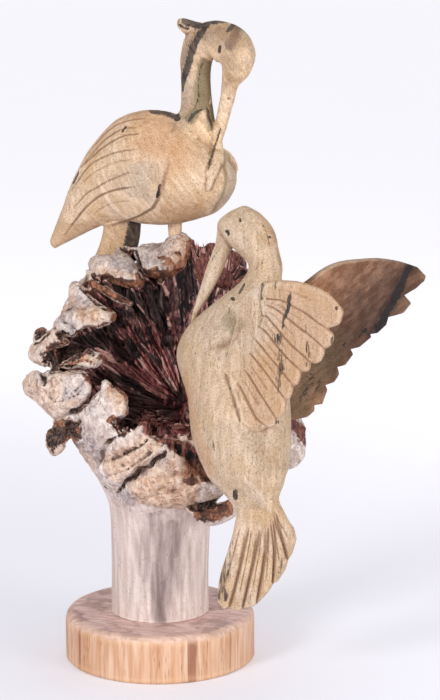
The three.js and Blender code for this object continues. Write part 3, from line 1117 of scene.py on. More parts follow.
@dataclass
class Hollow:
    """The fibrous heartwood that lines the cup, and the strands that stand off it."""

    columns: int = 780
    rows: int = 100
    front: float = 0.93
    thick: float = 4.0
    strands: int = 620
    strand_grid: tuple[int, int] = (6, 14)
    strand_relief: float = -0.3
    red: Stroke = Stroke(pairs("140 352 160 378 180 402"), 58.0, 1.0, 0.1, 0.0)
    shades: tuple[Stroke, ...] = marks("""
    9 1 .4 | 146 280 152 300 162 325 172 350;
    10 .9 .4 | 192 262 190 285 186 312;
    9 1 .4 | 112 286 128 296 146 306 158 322;
    14 1 .4 0 | 56 352 76 345 98 341 114 343 130 356;
    9 1 .4 | 96 372 110 378 124 382 140 388;
    12 .9 .4 | 124 424 134 414 146 406 160 402;
    26 .6 .3 | 165 395 185 400;
    15 .7 .2 0 | 100 338 112 326 126 312 140 296;
    16 .8 .2 0 | 120 392 138 398 154 404 170 414;
    8 .9 .3 0 | 150 270 158 290 168 312;
    5 .8 .3 .1 | 176 284 180 306 184 326;
    5 .8 .3 .1 | 130 340 146 352 160 364;
    5 .7 .3 .1 | 240 270 226 284 214 300;
    6 .6 .4 | 120 322 140 332 152 346
    """)

    def wall(self, turns: Array, share: Array) -> Array:
        """Gives the points of the lining: down its face from throat to lip and back behind it.

        Args:
            turns: Shares of the way round.
            share: Shares of the way along.

        Returns:
            One point a row.
        """
        rim = 0.985 + 0.03 * np.sin(6.0 * math.pi * turns) - 0.07 * np.exp(-(((turns - 0.72) / 0.1) ** 2))
        face = hollow_ring(turns, rim * np.clip(share / self.front, 0.0, 1.0) ** 1.5, 0.0)
        depth = rim * np.clip((1.0 - share) / (1.0 - self.front), 0.0, 1.0)
        return np.where((share > self.front)[:, None], hollow_ring(turns, depth, self.thick), face)

    def ridges(self, turn: Array, depth: Array) -> Array:
        """Returns how high the fibres stand above the wall.

        Args:
            turn: Angles round the cup, in radians.
            depth: Depth shares.

        Returns:
            Heights in millimetres.
        """
        spot = np.stack((3 * np.cos(turn), 3 * np.sin(turn), 3 * depth), axis=1)
        bend = 0.10 * lumps(spot, 1.0, 21, 2) + 0.03 * lumps(spot, 0.3, 26) + 0.4 * (1.0 - depth) ** 2
        round_by = np.stack((np.cos(turn + bend), np.sin(turn + bend)), axis=1)

        def ribs(count: float, along: float, seed: int) -> Array:
            """Returns so many ribs round the wall."""
            spot = np.column_stack((round_by * count / 6.283, depth * along))
            return 1.0 - 2.2 * np.abs(lumps(spot, 1.0, seed))

        broken = ease(-0.2, 0.35, lumps(np.column_stack((round_by * 6.0, depth * 3.0)), 1.0, 25))
        deep = np.clip(depth, 0.02, 1.0)
        coarse = 10.0 * deep**0.7 * ribs(26.0, 0.7, 22) * (0.45 + 0.55 * broken)
        middle = 3.6 * deep**0.5 * ribs(85.0, 2.2, 23)
        return coarse + middle + 1.5 * deep**0.4 * ribs(230.0, 6.0, 24) - 1.5 * deep

    def build(self) -> list[bpy.types.Object]:
        """Makes both pieces and dresses them.

        Returns:
            Both pieces.
        """
        finish = Heartwood().build()
        clay = Clay(to_object("hollow_lining", sheet(self.columns, self.rows, self.wall)))
        turn, depth, room = in_cup(clay.points)
        face = ease(-2.2, -0.4, room)
        low = ease(0.2, -0.5, np.sin(turn)) * ease(0.62, 0.9, depth)
        lower = 1.0 - 0.4 * ease(0.9, 1.05, depth)
        rise = self.ridges(turn, depth) * lower * (1.0 - 0.75 * low) - 1.5 * low
        shade = self.gloom(clay)
        clay.push(face * np.clip(rise - 4.0 * shade * depth, -4.5, 9.0))
        clay.mark("relief", clay.hollows(3))
        clay.mark("shade", shade)
        round_by = np.stack((9 * np.cos(turn), 9 * np.sin(turn), depth), axis=1)
        clay.mark("tone", 0.5 + 0.45 * lumps(round_by, 0.6, 33, 2))
        loose, tones = self.splintered()
        strands = Clay(loose)
        strands.mark("relief", np.full(strands.count, self.strand_relief))
        strands.mark("shade", self.gloom(strands))
        strands.mark("tone", tones)
        for part in (clay, strands):
            uneven = 0.2 * lumps(part.points, 9.0, 32, 2)
            part.mark("blush", self.red.cover(PHOTO.pixels(part.points), uneven))
        return [part.finish(finish, "carved_wood", "carving") for part in (clay, strands)]

    def gloom(self, clay: Clay) -> Array:
        """Returns how dark the photograph's shades make each point."""
        return painted(self.shades, PHOTO.pixels(clay.points), 0.4 * lumps(clay.points, 3.0, 27, 2))

    def splintered(self) -> tuple[bpy.types.Object, Array]:
        """Makes the loose strands along the wall and the ragged ends at the rim, and their tones.

        Returns:
            The object and a tone for each of its points.
        """
        chance = np.random.default_rng(31)
        parts, tones = [], []
        for k in range(self.strands):
            turn, low = chance.uniform(0.0, 1.0), chance.uniform(0.03, 0.7)
            high = min(low + chance.uniform(0.15, 0.5), 1.0)
            wide, flat = 0.5 + 2.4 * chance.uniform(0.0, 1.0) ** 2, chance.uniform(0.5, 1.4)
            if k % 4 == 0:
                turn = chance.choice((0.0, 0.07, 0.20, 0.185, 0.17, 0.155)) + chance.uniform(-0.02, 0.02)
                low, high, wide = 0.6, chance.uniform(1.02, 1.2), chance.uniform(0.6, 1.8)
            lift, swing = chance.uniform(0.5, 5.0), chance.uniform(-0.02, 0.02)
            shape = self.splinter(turn, low, high, wide, flat, lift, swing)
            parts.append(sheet(*self.strand_grid, shape))
            tones.append(chance.uniform(0.0, 1.0) ** 1.05)
        whole, counts = joined(parts)
        return to_object("hollow_strands", whole), np.repeat(tones, counts)

    def splinter(
        self, turn: float, low: float, high: float, wide: float, flat: float, lift: float, swing: float
    ) -> Callable[[Array, Array], Array]:
        """Gives the shape of one strand.

        Args:
            turn: Where it lies round the cup, as a share of a turn.
            low: The depth share where it starts.
            high: The depth share where it ends.
            wide: Its half width.
            flat: Its half thickness.
            lift: How far its outer end stands off the wall.
            swing: How far it turns along its length.

        Returns:
            A function from shares round and along to points.
        """
        right, back, out = cup_axes()

        def shape(turns: Array, share: Array) -> Array:
            """Gives the points of the strand.

            Args:
                turns: Shares of the way round.
                share: Shares of the way along.

            Returns:
                One point a row.
            """
            depth = low + (high - low) * share
            around = turn + swing * share**2 + 0.0012 * np.sin(14.0 * share + 30.0 * turn)
            angle = 2.0 * math.pi * around
            spine = hollow_ring(around, depth, 0.0)
            outward = np.cos(angle)[:, None] * right + np.sin(angle)[:, None] * back
            inward = unit(out * 0.8 - outward)
            side = np.cross(inward, unit(outward + out * 0.8))
            off = 2.5 + lift * share**1.5 + 0.6 * np.sin(9.0 * share + 20.0 * turn)
            body = np.sin(math.pi * np.clip(share, 0.0, 1.0)) ** 0.5 * (1.0 - 0.5 * share)
            return ring(turns, spine + off[:, None] * inward, side * wide, inward * flat, body)

        return shape


@dataclass
class StandingBird:
    """The bird that stands on the lip with its beak on its breast.

    wing_end is the pixel column where the wing's edge ends, and wing_low the height in millimetres
    above which it shows. The beak's pixels lie below beak_row and right of beak_column, which leans by
    beak_lean, and its end begins over tip_rows. The grids are the faces round and along each limb.
    """

    voxel: float = 0.72
    wing_end: float = 172.0
    wing_low: float = 270.0
    beak_row: float = 70.0
    beak_column: float = 214.0
    beak_lean: float = -0.14
    tip_rows: tuple[float, float] = (140.0, 150.0)
    body_grid: tuple[int, int] = (110, 90)
    neck_grid: tuple[int, int] = (56, 150)
    crest_grid: tuple[int, int] = (40, 30)
    wing_edge: Path = pairs("165 173 162 186 158 198 152 208 140 215 124 221 104 228 80 236 58 247")
    grooves: tuple[Stroke, ...] = marks("""
    1.2 .5 | 146 112 132 114 120 119 110 125;
    1.4 .9 | 145 118 130 120 116 125 104 134 94 146;
    1.4 .9 | 136 128 124 128 114 133 102 142 88 158 80 168;
    1.5 | 139 134 126 135 114 140 102 148 90 158 80 167;
    1.3 .8 | 135 149.6 122 151 108 155 94 162 85 170 70 192;
    1.1 .6 | 130 160 118 161.6 106 166 92 174 80 185;
    1.3 .8 | 131 172 120 176 106 182 96 188 86 194 74 208;
    1.6 | 134 187 120 189 106 193 94 200 82 212 64 236;
    1 .5 | 131 201 116 202 104 207 94 214
    """)
    ink: tuple[Stroke, ...] = marks("""
    5 1 .8 .1 | 148 109.5 160 111 169 113 176 116 178 121;
    6.5 .95 .7 .1 | 182 19 190 22.5 200 24.5 210 23.5;
    3.4 .8 .6 .3 | 205 23.5 216 22 228 20.5 236 21;
    5.2 .95 .5 .24 | 209 25 204 30 199 36 195 43 192 51 189.5 60 187 69 184 79 182.5 92;
    6 .36 .3 .1 | 202 28 195 35 191 44 188 52 186 60 184 70;
    1.8 1 .6 | 179 24 183 27.5 190 29;
    3 .8 | 177 29 180 34 183 39;
    3.4 1 .5 .3 | 235 22 231.5 27 226 32;
    1.9 1 .7 0 | 219.7 47 219.3 49.5 219 52;
    1.8 | 126 125.5 123 129 122 132;
    2 1 .6 | 160.6 184 159 190 158 199;
    1.8 .9 | 78 171 75 178 72 184;
    1 .45 | 70 182 63 196 58 212;
    2.4 .8 | 152 223 164 226 180 225 196 221;
    1.4 .55 .3 .05 | 203.6 62 200.7 68 199.2 76 198.2 86 198.8 94 197 102 193.6 110 188.5 121;
    2.6 .9 .4 .2 | 203 109 196 112.5 191.5 117 188 122;
    1.4 .5 .4 .1 | 203 111 206 114 210 122 213 131;
    2 .6 .4 | 206.5 105 208.5 114 212 128;
    1.8 .8 .3 .2 | 216 143 212.5 152 210 160 208 170
    """)
    strut_dark: tuple[Stroke, ...] = marks("""
    15 1 .85 0 | 139 220 136 240 133 258
    """)
    strut_brown: tuple[Stroke, ...] = marks("""
    14 .6 .5 0 | 127 220 124 240 118 258;
    14 .4 .9 0 | 173 226 173 246
    """)
    beak_end: tuple[Stroke, ...] = marks("""
    10 1 .5 0 | 225 138 221.4 148 217.6 158;
    7 .9 .5 0 | 218.4 156 214.6 166 211.6 174;
    4.4 .7 .3 .4 | 212.4 172 208 190
    """)
    beak_ink: tuple[Stroke, ...] = marks("""
    1.4 .8 | 228.4 97 227.6 100;
    1.6 .7 | 221 127 218 137 214.4 147 210 160
    """)
    umber: tuple[Stroke, ...] = marks("""
    12 .9 .2 .2 | 237 24 235 34 231 43 227 50;
    22 .6 0 0 | 206 35 218 33 230 40;
    14 .35 0 0 | 229 48 231 60 232 72 230 84;
    5 .7 .2 0 | 177.5 20 177 25;
    3 .4 .3 | 183 35 192 32 197 31;
    9 .5 0 0 | 200 30 190 42 185 60 182 80;
    16 .3 0 0 | 192 92 186 108 180 124;
    3 .5 0 0 | 178 118 172 132
    """)
    olive: tuple[Stroke, ...] = marks("""
    12 1 .85 .03 | 209 60.5 205.5 67 204 77 203.5 88 204 100 202 110;
    7 .95 .7 .03 | 207 92 209 104 210 114 212 124 213.6 131;
    8 .9 .7 .1 | 201 102 196 111 190 119 187 122
    """)
    breast: tuple[Stroke, ...] = marks("""
    2.6 .7 .3 .1 | 221 152 224 164 225.5 180 222 196 212 212
    """)
    warm: tuple[Stroke, ...] = marks("""
    30 .7 0 0 | 146 142 156 146 170 152 176 160;
    46 .62 0 0 | 146 118 162 130 174 150;
    22 .35 0 0 | 120 118 104 132 88 152;
    12 .3 .1 | 186 130 188 150 192 168;
    7 .5 .3 | 161 180 159 196;
    20 .5 .2 | 160 208 180 214 206 208;
    5 .4 .3 | 174 168 175 176;
    5 .4 .3 | 100 216 80 226 60 240
    """)
    grey: tuple[Stroke, ...] = marks("""
    36 .5 0 | 138 162 141 180 136 198;
    8 .55 .3 | 228 150 232 168 231 186 222 204;
    2.2 .8 | 204.6 88 204.4 98 204.6 110;
    8 .4 .3 | 240 30 248 40 252 52;
    44 .2 0 0 | 212 44 232 50 244 62 240 78;
    22 .4 0 0 | 192 56 188 80 186 112
    """)

    def seen_at(self, clay: Clay) -> tuple[Array, Array]:
        """Returns where each point is in the photograph, mirrored on the far side, and how it faces.

        Args:
            clay: The bird's skin.

        Returns:
            Pixels and a share for each point.
        """
        _, _, across = STANDING.axes()
        side = STANDING.local(clay.points)[:, 2]
        flip = np.where(side < 0.0, 2.0 * side, 0.0)[:, None] * across
        twice = np.where(side < 0.0, 2.0, 0.0)[:, None]
        turned = clay.normals - twice * (clay.normals @ across)[:, None] * across
        return PHOTO.pixels(clay.points - flip), facing(clay.points - flip, turned)

    def build(self) -> bpy.types.Object:
        """Makes the piece and dresses it.

        Returns:
            The piece.
        """
        forward, _, across = STANDING.axes()
        bodies = [
            limb(STANDING, STANDING_BODY, *self.body_grid),
            limb(STANDING, STANDING_NECK, *self.neck_grid),
            limb(STANDING, STANDING_CREST, *self.crest_grid),
            post(PEG, np.array((1.0, 0.0, 0.0)), np.array((0.0, 1.0, 0.0)), 0.0),
            post(STRUT, forward, across, 0.16),
        ]
        clay = Clay(melded("standing_bird", bodies, self.voxel))
        on_neck = limb_gap(STANDING, STANDING_NECK, clay.points)
        joint = ease(9.0, 2.0, on_neck) * ease(-3.0, -0.5, on_neck)
        ahead, high, _ = STANDING.local(clay.points).T
        clay.smooth(14, joint * (high < 52.0))
        nape = ease(44.0, 39.0, ahead) * ease(8.0, 14.0, high) * ease(46.0, 38.0, high)
        clay.smooth(150, nape * ease(9.0, 5.0, np.abs(on_neck)))
        clay.smooth(2)
        spots, square = self.seen_at(clay)
        seen = ease(0.02, 0.3, square)
        torso = ease(-0.5, 1.5, on_neck)
        edge = signed(self.wing_edge, spots)
        step = 1.1 * ease(-1.6, 1.6, edge) * np.exp(-np.maximum(edge, 0.0) / 22.0)
        step -= 0.7 * np.exp(-np.maximum(-edge, 0.0) / 7.0) * ease(2.0, -1.0, edge)
        near = ease(40.0, 25.0, nearest(self.wing_edge, spots)[0])
        above = clay.points[:, 2] > self.wing_low
        shown = torso * seen * (spots[:, 0] < self.wing_end) * above
        clay.push(shown * near * step)
        groove = torso * seen * painted(self.grooves, spots)
        grain = 0.16 * lumps(clay.points * (1.0, 1.0, 0.4), 2.2, 45, 2)
        below = spots[:, 1] - self.beak_row
        on_beak = (on_neck < 0.6) & (below > 0.0) & (spots[:, 0] > below * self.beak_lean + self.beak_column)
        ink = seen * np.where(on_beak, painted(self.beak_ink, spots), painted(self.ink, spots, 0.4 * grain))
        eye = seen * painted(self.ink[8:9], spots)
        slit = seen * torso * painted(self.ink[9:12], spots)
        end = seen * ease(*self.tip_rows, spots[:, 1]) * painted(self.beak_end, spots)
        clay.push(2.8 * end - 0.6 * groove - 1.0 * eye - 1.2 * slit)
        clay.push(0.22 * lumps(clay.points, 9.0, 43, 2) + 0.05 * lumps(clay.points, 2.4, 44))
        post_part = ease(276.0, 271.0, clay.points[:, 2])
        stained = 0.9 * post_part * seen * painted(self.strut_dark, spots, 0.5 * grain)
        clay.mark("ink", np.maximum(ink * (1.0 - post_part), stained))
        umber = post_part * painted(self.strut_brown, spots, grain)
        clay.mark("umber", seen * np.maximum(painted(self.umber, spots, grain), umber))
        olive = np.where(on_beak, 0.0, painted(self.olive, spots, grain))
        clay.mark("olive", seen * np.maximum(olive, torso * painted(self.breast, spots, grain)))
        clay.mark("warm", seen * torso * painted(self.warm, spots, grain))
        clay.mark("grey", seen * np.where(on_beak, 0.0, painted(self.grey, spots, grain)))
        above = clay.points[:, 2] > self.wing_low
        line = torso * seen * np.exp(-((edge / 1.1) ** 2)) * (spots[:, 0] < self.wing_end) * near
        clay.mark("groove", np.maximum(0.6 * groove, 0.55 * line * above))
        clay.mark("relief", clay.hollows(5))
        clay.mark("strut", ease(274.0, 268.0, clay.points[:, 2]) * (spots[:, 0] < 150))
        return clay.finish(CarvedWood.STANDING.value.build(), "carved_wood", "carving")


def signed(path: Path, spots: Array) -> Array:
    """Returns the distance of spots from a path, below 0 on the path's left side as pixels run.

    Args:
        path: Corner points, in pixels.
        spots: Places, one a row.

    Returns:
        One distance for each spot.
    """
    path = np.asarray(path, float)
    gap, share = nearest(path, spots)
    k = np.minimum((share * (len(path) - 1)).astype(int), len(path) - 2)
    along, away = path[k + 1] - path[k], spots - path[k]
    return gap * np.sign(along[:, 0] * away[:, 1] - along[:, 1] * away[:, 0])


def limb_gap(plane: BirdPlane, table: Table, points: Array) -> Array:
    """Returns how far points lie outside a limb's sections, below 0 inside it.

    Args:
        plane: The bird's middle plane.
        table: The limb's sections.
        points: Points, one a row.

    Returns:
        One distance for each point.
    """
    rows = row_at(table, np.linspace(0.0, 1.0, 60))
    back, belly = plane.place(rows[:, 0], rows[:, 1]), plane.place(rows[:, 2], rows[:, 3])
    reach = (np.linalg.norm(back - belly, axis=1) / 2 + rows[:, 4]) / 2
    gap, share = nearest((back + belly) / 2, points)
    return gap - np.interp(share, np.linspace(0.0, 1.0, len(reach)), reach)


def post(table: Table, across: Array, deep: Array, corner: float) -> bmesh.types.BMesh:
    """Makes a post through the rows of a table.

    Args:
        table: Middle of each section and one or two half widths.
        across: The direction of the first half width.
        deep: The direction of the second.
        corner: How far the section's corners stand out of an ellipse.

    Returns:
        The closed body.
    """
    rows = 40

    def shape(turns: Array, share: Array) -> Array:
        """Gives the points of the post.

        Args:
            turns: Shares of the way round.
            share: Shares of the way along.

        Returns:
            One point a row.
        """
        row = row_at(table, (share - 0.5 / rows) / (1.0 - 1.0 / rows))
        reach = inner(share) * (1.0 + corner * np.abs(np.sin(4.0 * math.pi * turns)))
        return ring(turns, row[:, :3], row[:, 3:4] * across, row[:, -1:] * deep, reach)

    return sheet(32, rows, shape)


@dataclass
class Fan:
    """A wing or a tail: feathers between lines that run from its root to its edge.

    The lines and the feathers' tips are where the photograph shows them, in its pixels.
    """

    name: str
    hub: Triple
    along: Triple
    lines: tuple[Path, ...]
    tips: tuple[Path, ...]
    thick: float
    root: float
    material: "Finish"
    cut_front: float = 1.0
    cut_back: float = 0.0
    flute: float = 0.5
    starts: float = 0.25
    columns: int = 24
    rows: int = 110
    ink: tuple[Stroke, ...] = ()
    warm: tuple[Stroke, ...] = ()
    umber: tuple[Stroke, ...] = ()
    olive: tuple[Stroke, ...] = ()
    halves: tuple[tuple[float, float], ...] = ((0.25, 0.72),)
    rim: float = 1.5
    line: float = 1.2

    def normal(self) -> Array:
        """Returns the direction that the front face looks in."""
        return np.cross(unit(self.along), (0.0, 0.0, 1.0))

    def outline(self) -> tuple[Array, list[Array]]:
        """Returns the lines and tips as points of the fan's plane.

        Returns:
            All lines with equally many points, and each feather's tip.
        """
        hub, normal = np.array(self.hub), self.normal()
        lines = np.stack([PHOTO.onto(even(line, 30), hub, normal) for line in self.lines])
        tips = []
        for k, tip in enumerate(self.tips):
            ends = (self.lines[k][-1], *tip, self.lines[k + 1][-1])
            tips.append(PHOTO.onto(np.asarray(ends, float), hub, normal))
        return lines, tips

    def surface(self, place: Array, share: Array) -> tuple[Array, Array, Array, Array]:
        """Returns middle points, and the feather share, edge distance and feather width of each.

        Args:
            place: Shares of the way across the feathers.
            share: Shares of the way out.

        Returns:
            Points, shares, and two lengths in millimetres.
        """
        lines, tips = self.outline()
        spans = len(self.tips)
        at = np.clip(place * spans, 0.0, spans - 1e-9)
        k = at.astype(int)
        q = at - k
        t = q - 0.11 * np.sin(2.0 * math.pi * q)
        row = share * (lines.shape[1] - 1)
        low = np.minimum(row.astype(int), lines.shape[1] - 2)
        part = (row - low)[:, None]
        a = lines[k, low] * (1 - part) + lines[k, low + 1] * part
        b = lines[k + 1, low] * (1 - part) + lines[k + 1, low + 1] * part
        middle = a + t[:, None] * (b - a)
        end = lines[k, -1] + t[:, None] * (lines[k + 1, -1] - lines[k, -1])
        bulge = np.zeros_like(middle)
        for feather, tip in enumerate(tips):
            mine = k == feather
            lengths = np.concatenate(([0.0], np.cumsum(np.linalg.norm(np.diff(tip, axis=0), axis=1))))
            spot = t[mine] * lengths[-1]
            edge = np.stack([np.interp(spot, lengths, axis) for axis in tip.T], axis=1)
            bulge[mine] = edge - end[mine]
        middle = middle + (share**4)[:, None] * bulge
        length = np.linalg.norm(lines[k, -1] - lines[k, 0], axis=1)
        width = np.linalg.norm(b - a, axis=1)
        side = np.where(k == 0, t * width, np.inf)
        side = np.minimum(side, np.where(k == spans - 1, (1.0 - t) * width, np.inf))
        edge = np.minimum(side, (1.0 - share) * length)
        return middle, t, edge, width

    def relief(self, t: Array, share: Array, width: Array, cut: float) -> Array:
        """Returns how far a face stands up or is cut in, over feathers and lines.

        Args:
            t: Shares across the feather.
            share: Shares of the way out.
            width: The feather's width there.
            cut: How deep the cuts are.

        Returns:
            Heights in millimetres.
        """
        grow = ease(self.starts, self.starts + 0.2, share)
        near = np.minimum(t, 1.0 - t) * width
        groove = np.exp(-((near / 0.75) ** 2)) * grow
        puff = self.flute * (1.0 - np.abs(2.0 * t - 1.0) ** 2.2) * grow * ease(0.0, 6.0, width)
        total = puff - 1.0 * groove
        for low, high in self.halves:
            window = ease(low, low + 0.12, share) * ease(high, high - 0.12, share)
            total = total - 0.6 * np.exp(-((((t - 0.5) * width) / 0.5) ** 2)) * window * ease(3.0, 5.0, width)
        return cut * total

    def shape(self, turns: Array, share: Array) -> Array:
        """Gives the fan's points: its front face over the first half turn, then its back.

        Args:
            turns: Shares of the way round.
            share: Shares of the way along.

        Returns:
            One point a row.
        """
        share = 1.0 - (1.0 - share) ** 1.35
        front = turns < 0.5
        place = np.where(front, 2.0 * turns, 2.0 - 2.0 * turns)
        middle, t, edge, width = self.surface(place, share)
        half = (self.root + (self.thick - self.root) * np.minimum(1.0, 1.3 * share)) / 2
        inward = np.clip(edge / self.rim, 0.0, 1.0)
        rounding = np.sqrt(1.0 - (1.0 - inward) ** 2) * ease(0.0, 0.02, share)
        cut = np.where(front, self.cut_front, self.cut_back)
        lift = rounding * (half + cut * self.relief(t, share, width, 1.0) * ease(0.0, 0.6, inward))
        return middle + (np.where(front, lift, -lift))[:, None] * self.normal()

    def body(self, columns: int, rows: int) -> bmesh.types.BMesh:
        """Returns the closed body with so many columns to a feather's face."""
        return sheet(2 * columns * len(self.tips), rows, self.shape)

    def strokes(self, middle: float = 0.0) -> list[Stroke]:
        """Returns the lines between the feathers, or with a share the ones between those, as strokes.

        Args:
            middle: A share across the feathers, or 0.

        Returns:
            One stroke for each line.
        """
        paths = [even(line, 30) for line in self.lines]
        if not middle:
            return [Stroke(path[8:], self.line, 1.0, 0.3, 0.1) for path in paths[1:-1]]
        inner = [a + middle * (b - a) for a, b in itertools.pairwise(paths)]
        return [Stroke(path[10:22], 1.0, 1.0, 0.3, 0.2) for path in inner]

    def build(self) -> bpy.types.Object:
        """Makes the piece and dresses it.

        Returns:
            The piece.
        """
        clay = Clay(to_object(self.name, self.body(self.columns, self.rows)))
        clay.push(0.12 * lumps(clay.points, 9.0, 51, 2) + 0.04 * lumps(clay.points, 2.0, 52))
        spots = PHOTO.pixels(clay.points)
        grain = 0.45 * lumps(clay.points * (1.0, 1.0, 0.3), 2.6, 53, 3)
        clay.mark("ink", painted(self.ink, spots, grain))
        clay.mark("warm", painted(self.warm, spots, grain))
        clay.mark("umber", painted(self.umber, spots, 0.4 * grain))
        clay.mark("olive", painted(self.olive, spots, 0.4 * grain))
        for name in ("grey", "strut"):
            clay.mark(name, np.zeros(clay.count))
        relief = clay.hollows(4)
        drawn = 0.9 * painted(self.strokes(), spots) if self.line else 0.0
        # The deepest recesses between feathers take the groove colour as painted shade; the drawn lines take
        # it as their own colour.
        clay.mark("groove", np.maximum(ease(0.3, 0.9, relief), drawn))
        clay.mark("relief", relief)
        return clay.finish(self.material.build(), "carved_wood", "carving")


NEAR_WING_LINES = paths("""
    243 304 250 293 264 283 282 280 306 283 328 293 342 309;
    241 313 254 302 268 299 282 301 294 307 306 314 318 323 327 328.6;
    240 321 254 308 268 306 278 311 288 319 298 327 310 336 317 342 324 348.6;
    238 329 252 316 266 316 272 323 280 333 290 344 302 355 310 362.6;
    236 337 248 326 261 328 266 333 274 343 284 355 294 365 301 371;
    234 345 243 335 252 337 258 343 266 353 276 365 286 377 292.4 385;
    232 352 239 345 247 350 252 356 260 366 270 379 280 393 286 401;
    229 359 234 357 241 365 248 375 258 391 268 407 276 419;
    226 366 229 367 233 376 236 381 242 391 250 407 257 419 267 427;
    221 372 225 374 230 391 236 408 243 424
""")
NEAR_WING_TIPS = paths("""
    343 313 340 324 333 327.5;
    333 333 334 339 330 348;
    325 353 322 361 317 364;
    311 367 308 372.6;
    301 375 298 384 295 386;
    292.4 392 290 399;
    285.6 411 282 418;
    276 425 272 428;
    262 431 252 431
""")
FAR_WING_LINES = paths("""
    262 314 282 297 306 282 321 270 337 262 357 259 376 258 399 261 417 267;
    262 321 290 306 330 296 370 293 404 295;
    262 328 290 315 325 311 360 313 388 317;
    262 334 290 325 320 322 350 328 370 334;
    262 341 288 334 312 334 334 341 350 349;
    261 348 284 344 306 348 324 358 337 367;
    259 355 280 355 300 364 314 375 325 385;
    257 362 276 367 294 382 306 395 314 405;
    254 368 266 382 278 400 290 420
""")
FAR_WING_TIPS = paths("""
    426 276 424 281 416 288;
    411 303 403 313;
    386 325 377 333;
    371 337 359 347;
    353 354 345 365;
    339 374 334 382;
    327 390 322 404;
    314 411 307 417
""")
TAIL_LINES = paths("""
    242 496 238 514 233 535 226 557 221 573 218 592;
    250 498 249 514 248.6 529 244 551 239.4 572 230 607;
    258 499 259 514 259.4 530 257 548 253 566 243 608;
    264 499 267 514 268 531 267 546 265 560 257 604;
    269 498 272 513 274 528 275 542 275 556 273 584;
    273 497 276 509 277.4 520 280 530 283 540 288 560;
    276 495 278 504 284 514 293 528
""")
TAIL_TIPS = paths("""
    219 602 224 609;
    235 611 240 611;
    248 608 254 606;
    262 599 269 591;
    278 581 285 570;
    292 554 296 541
""")


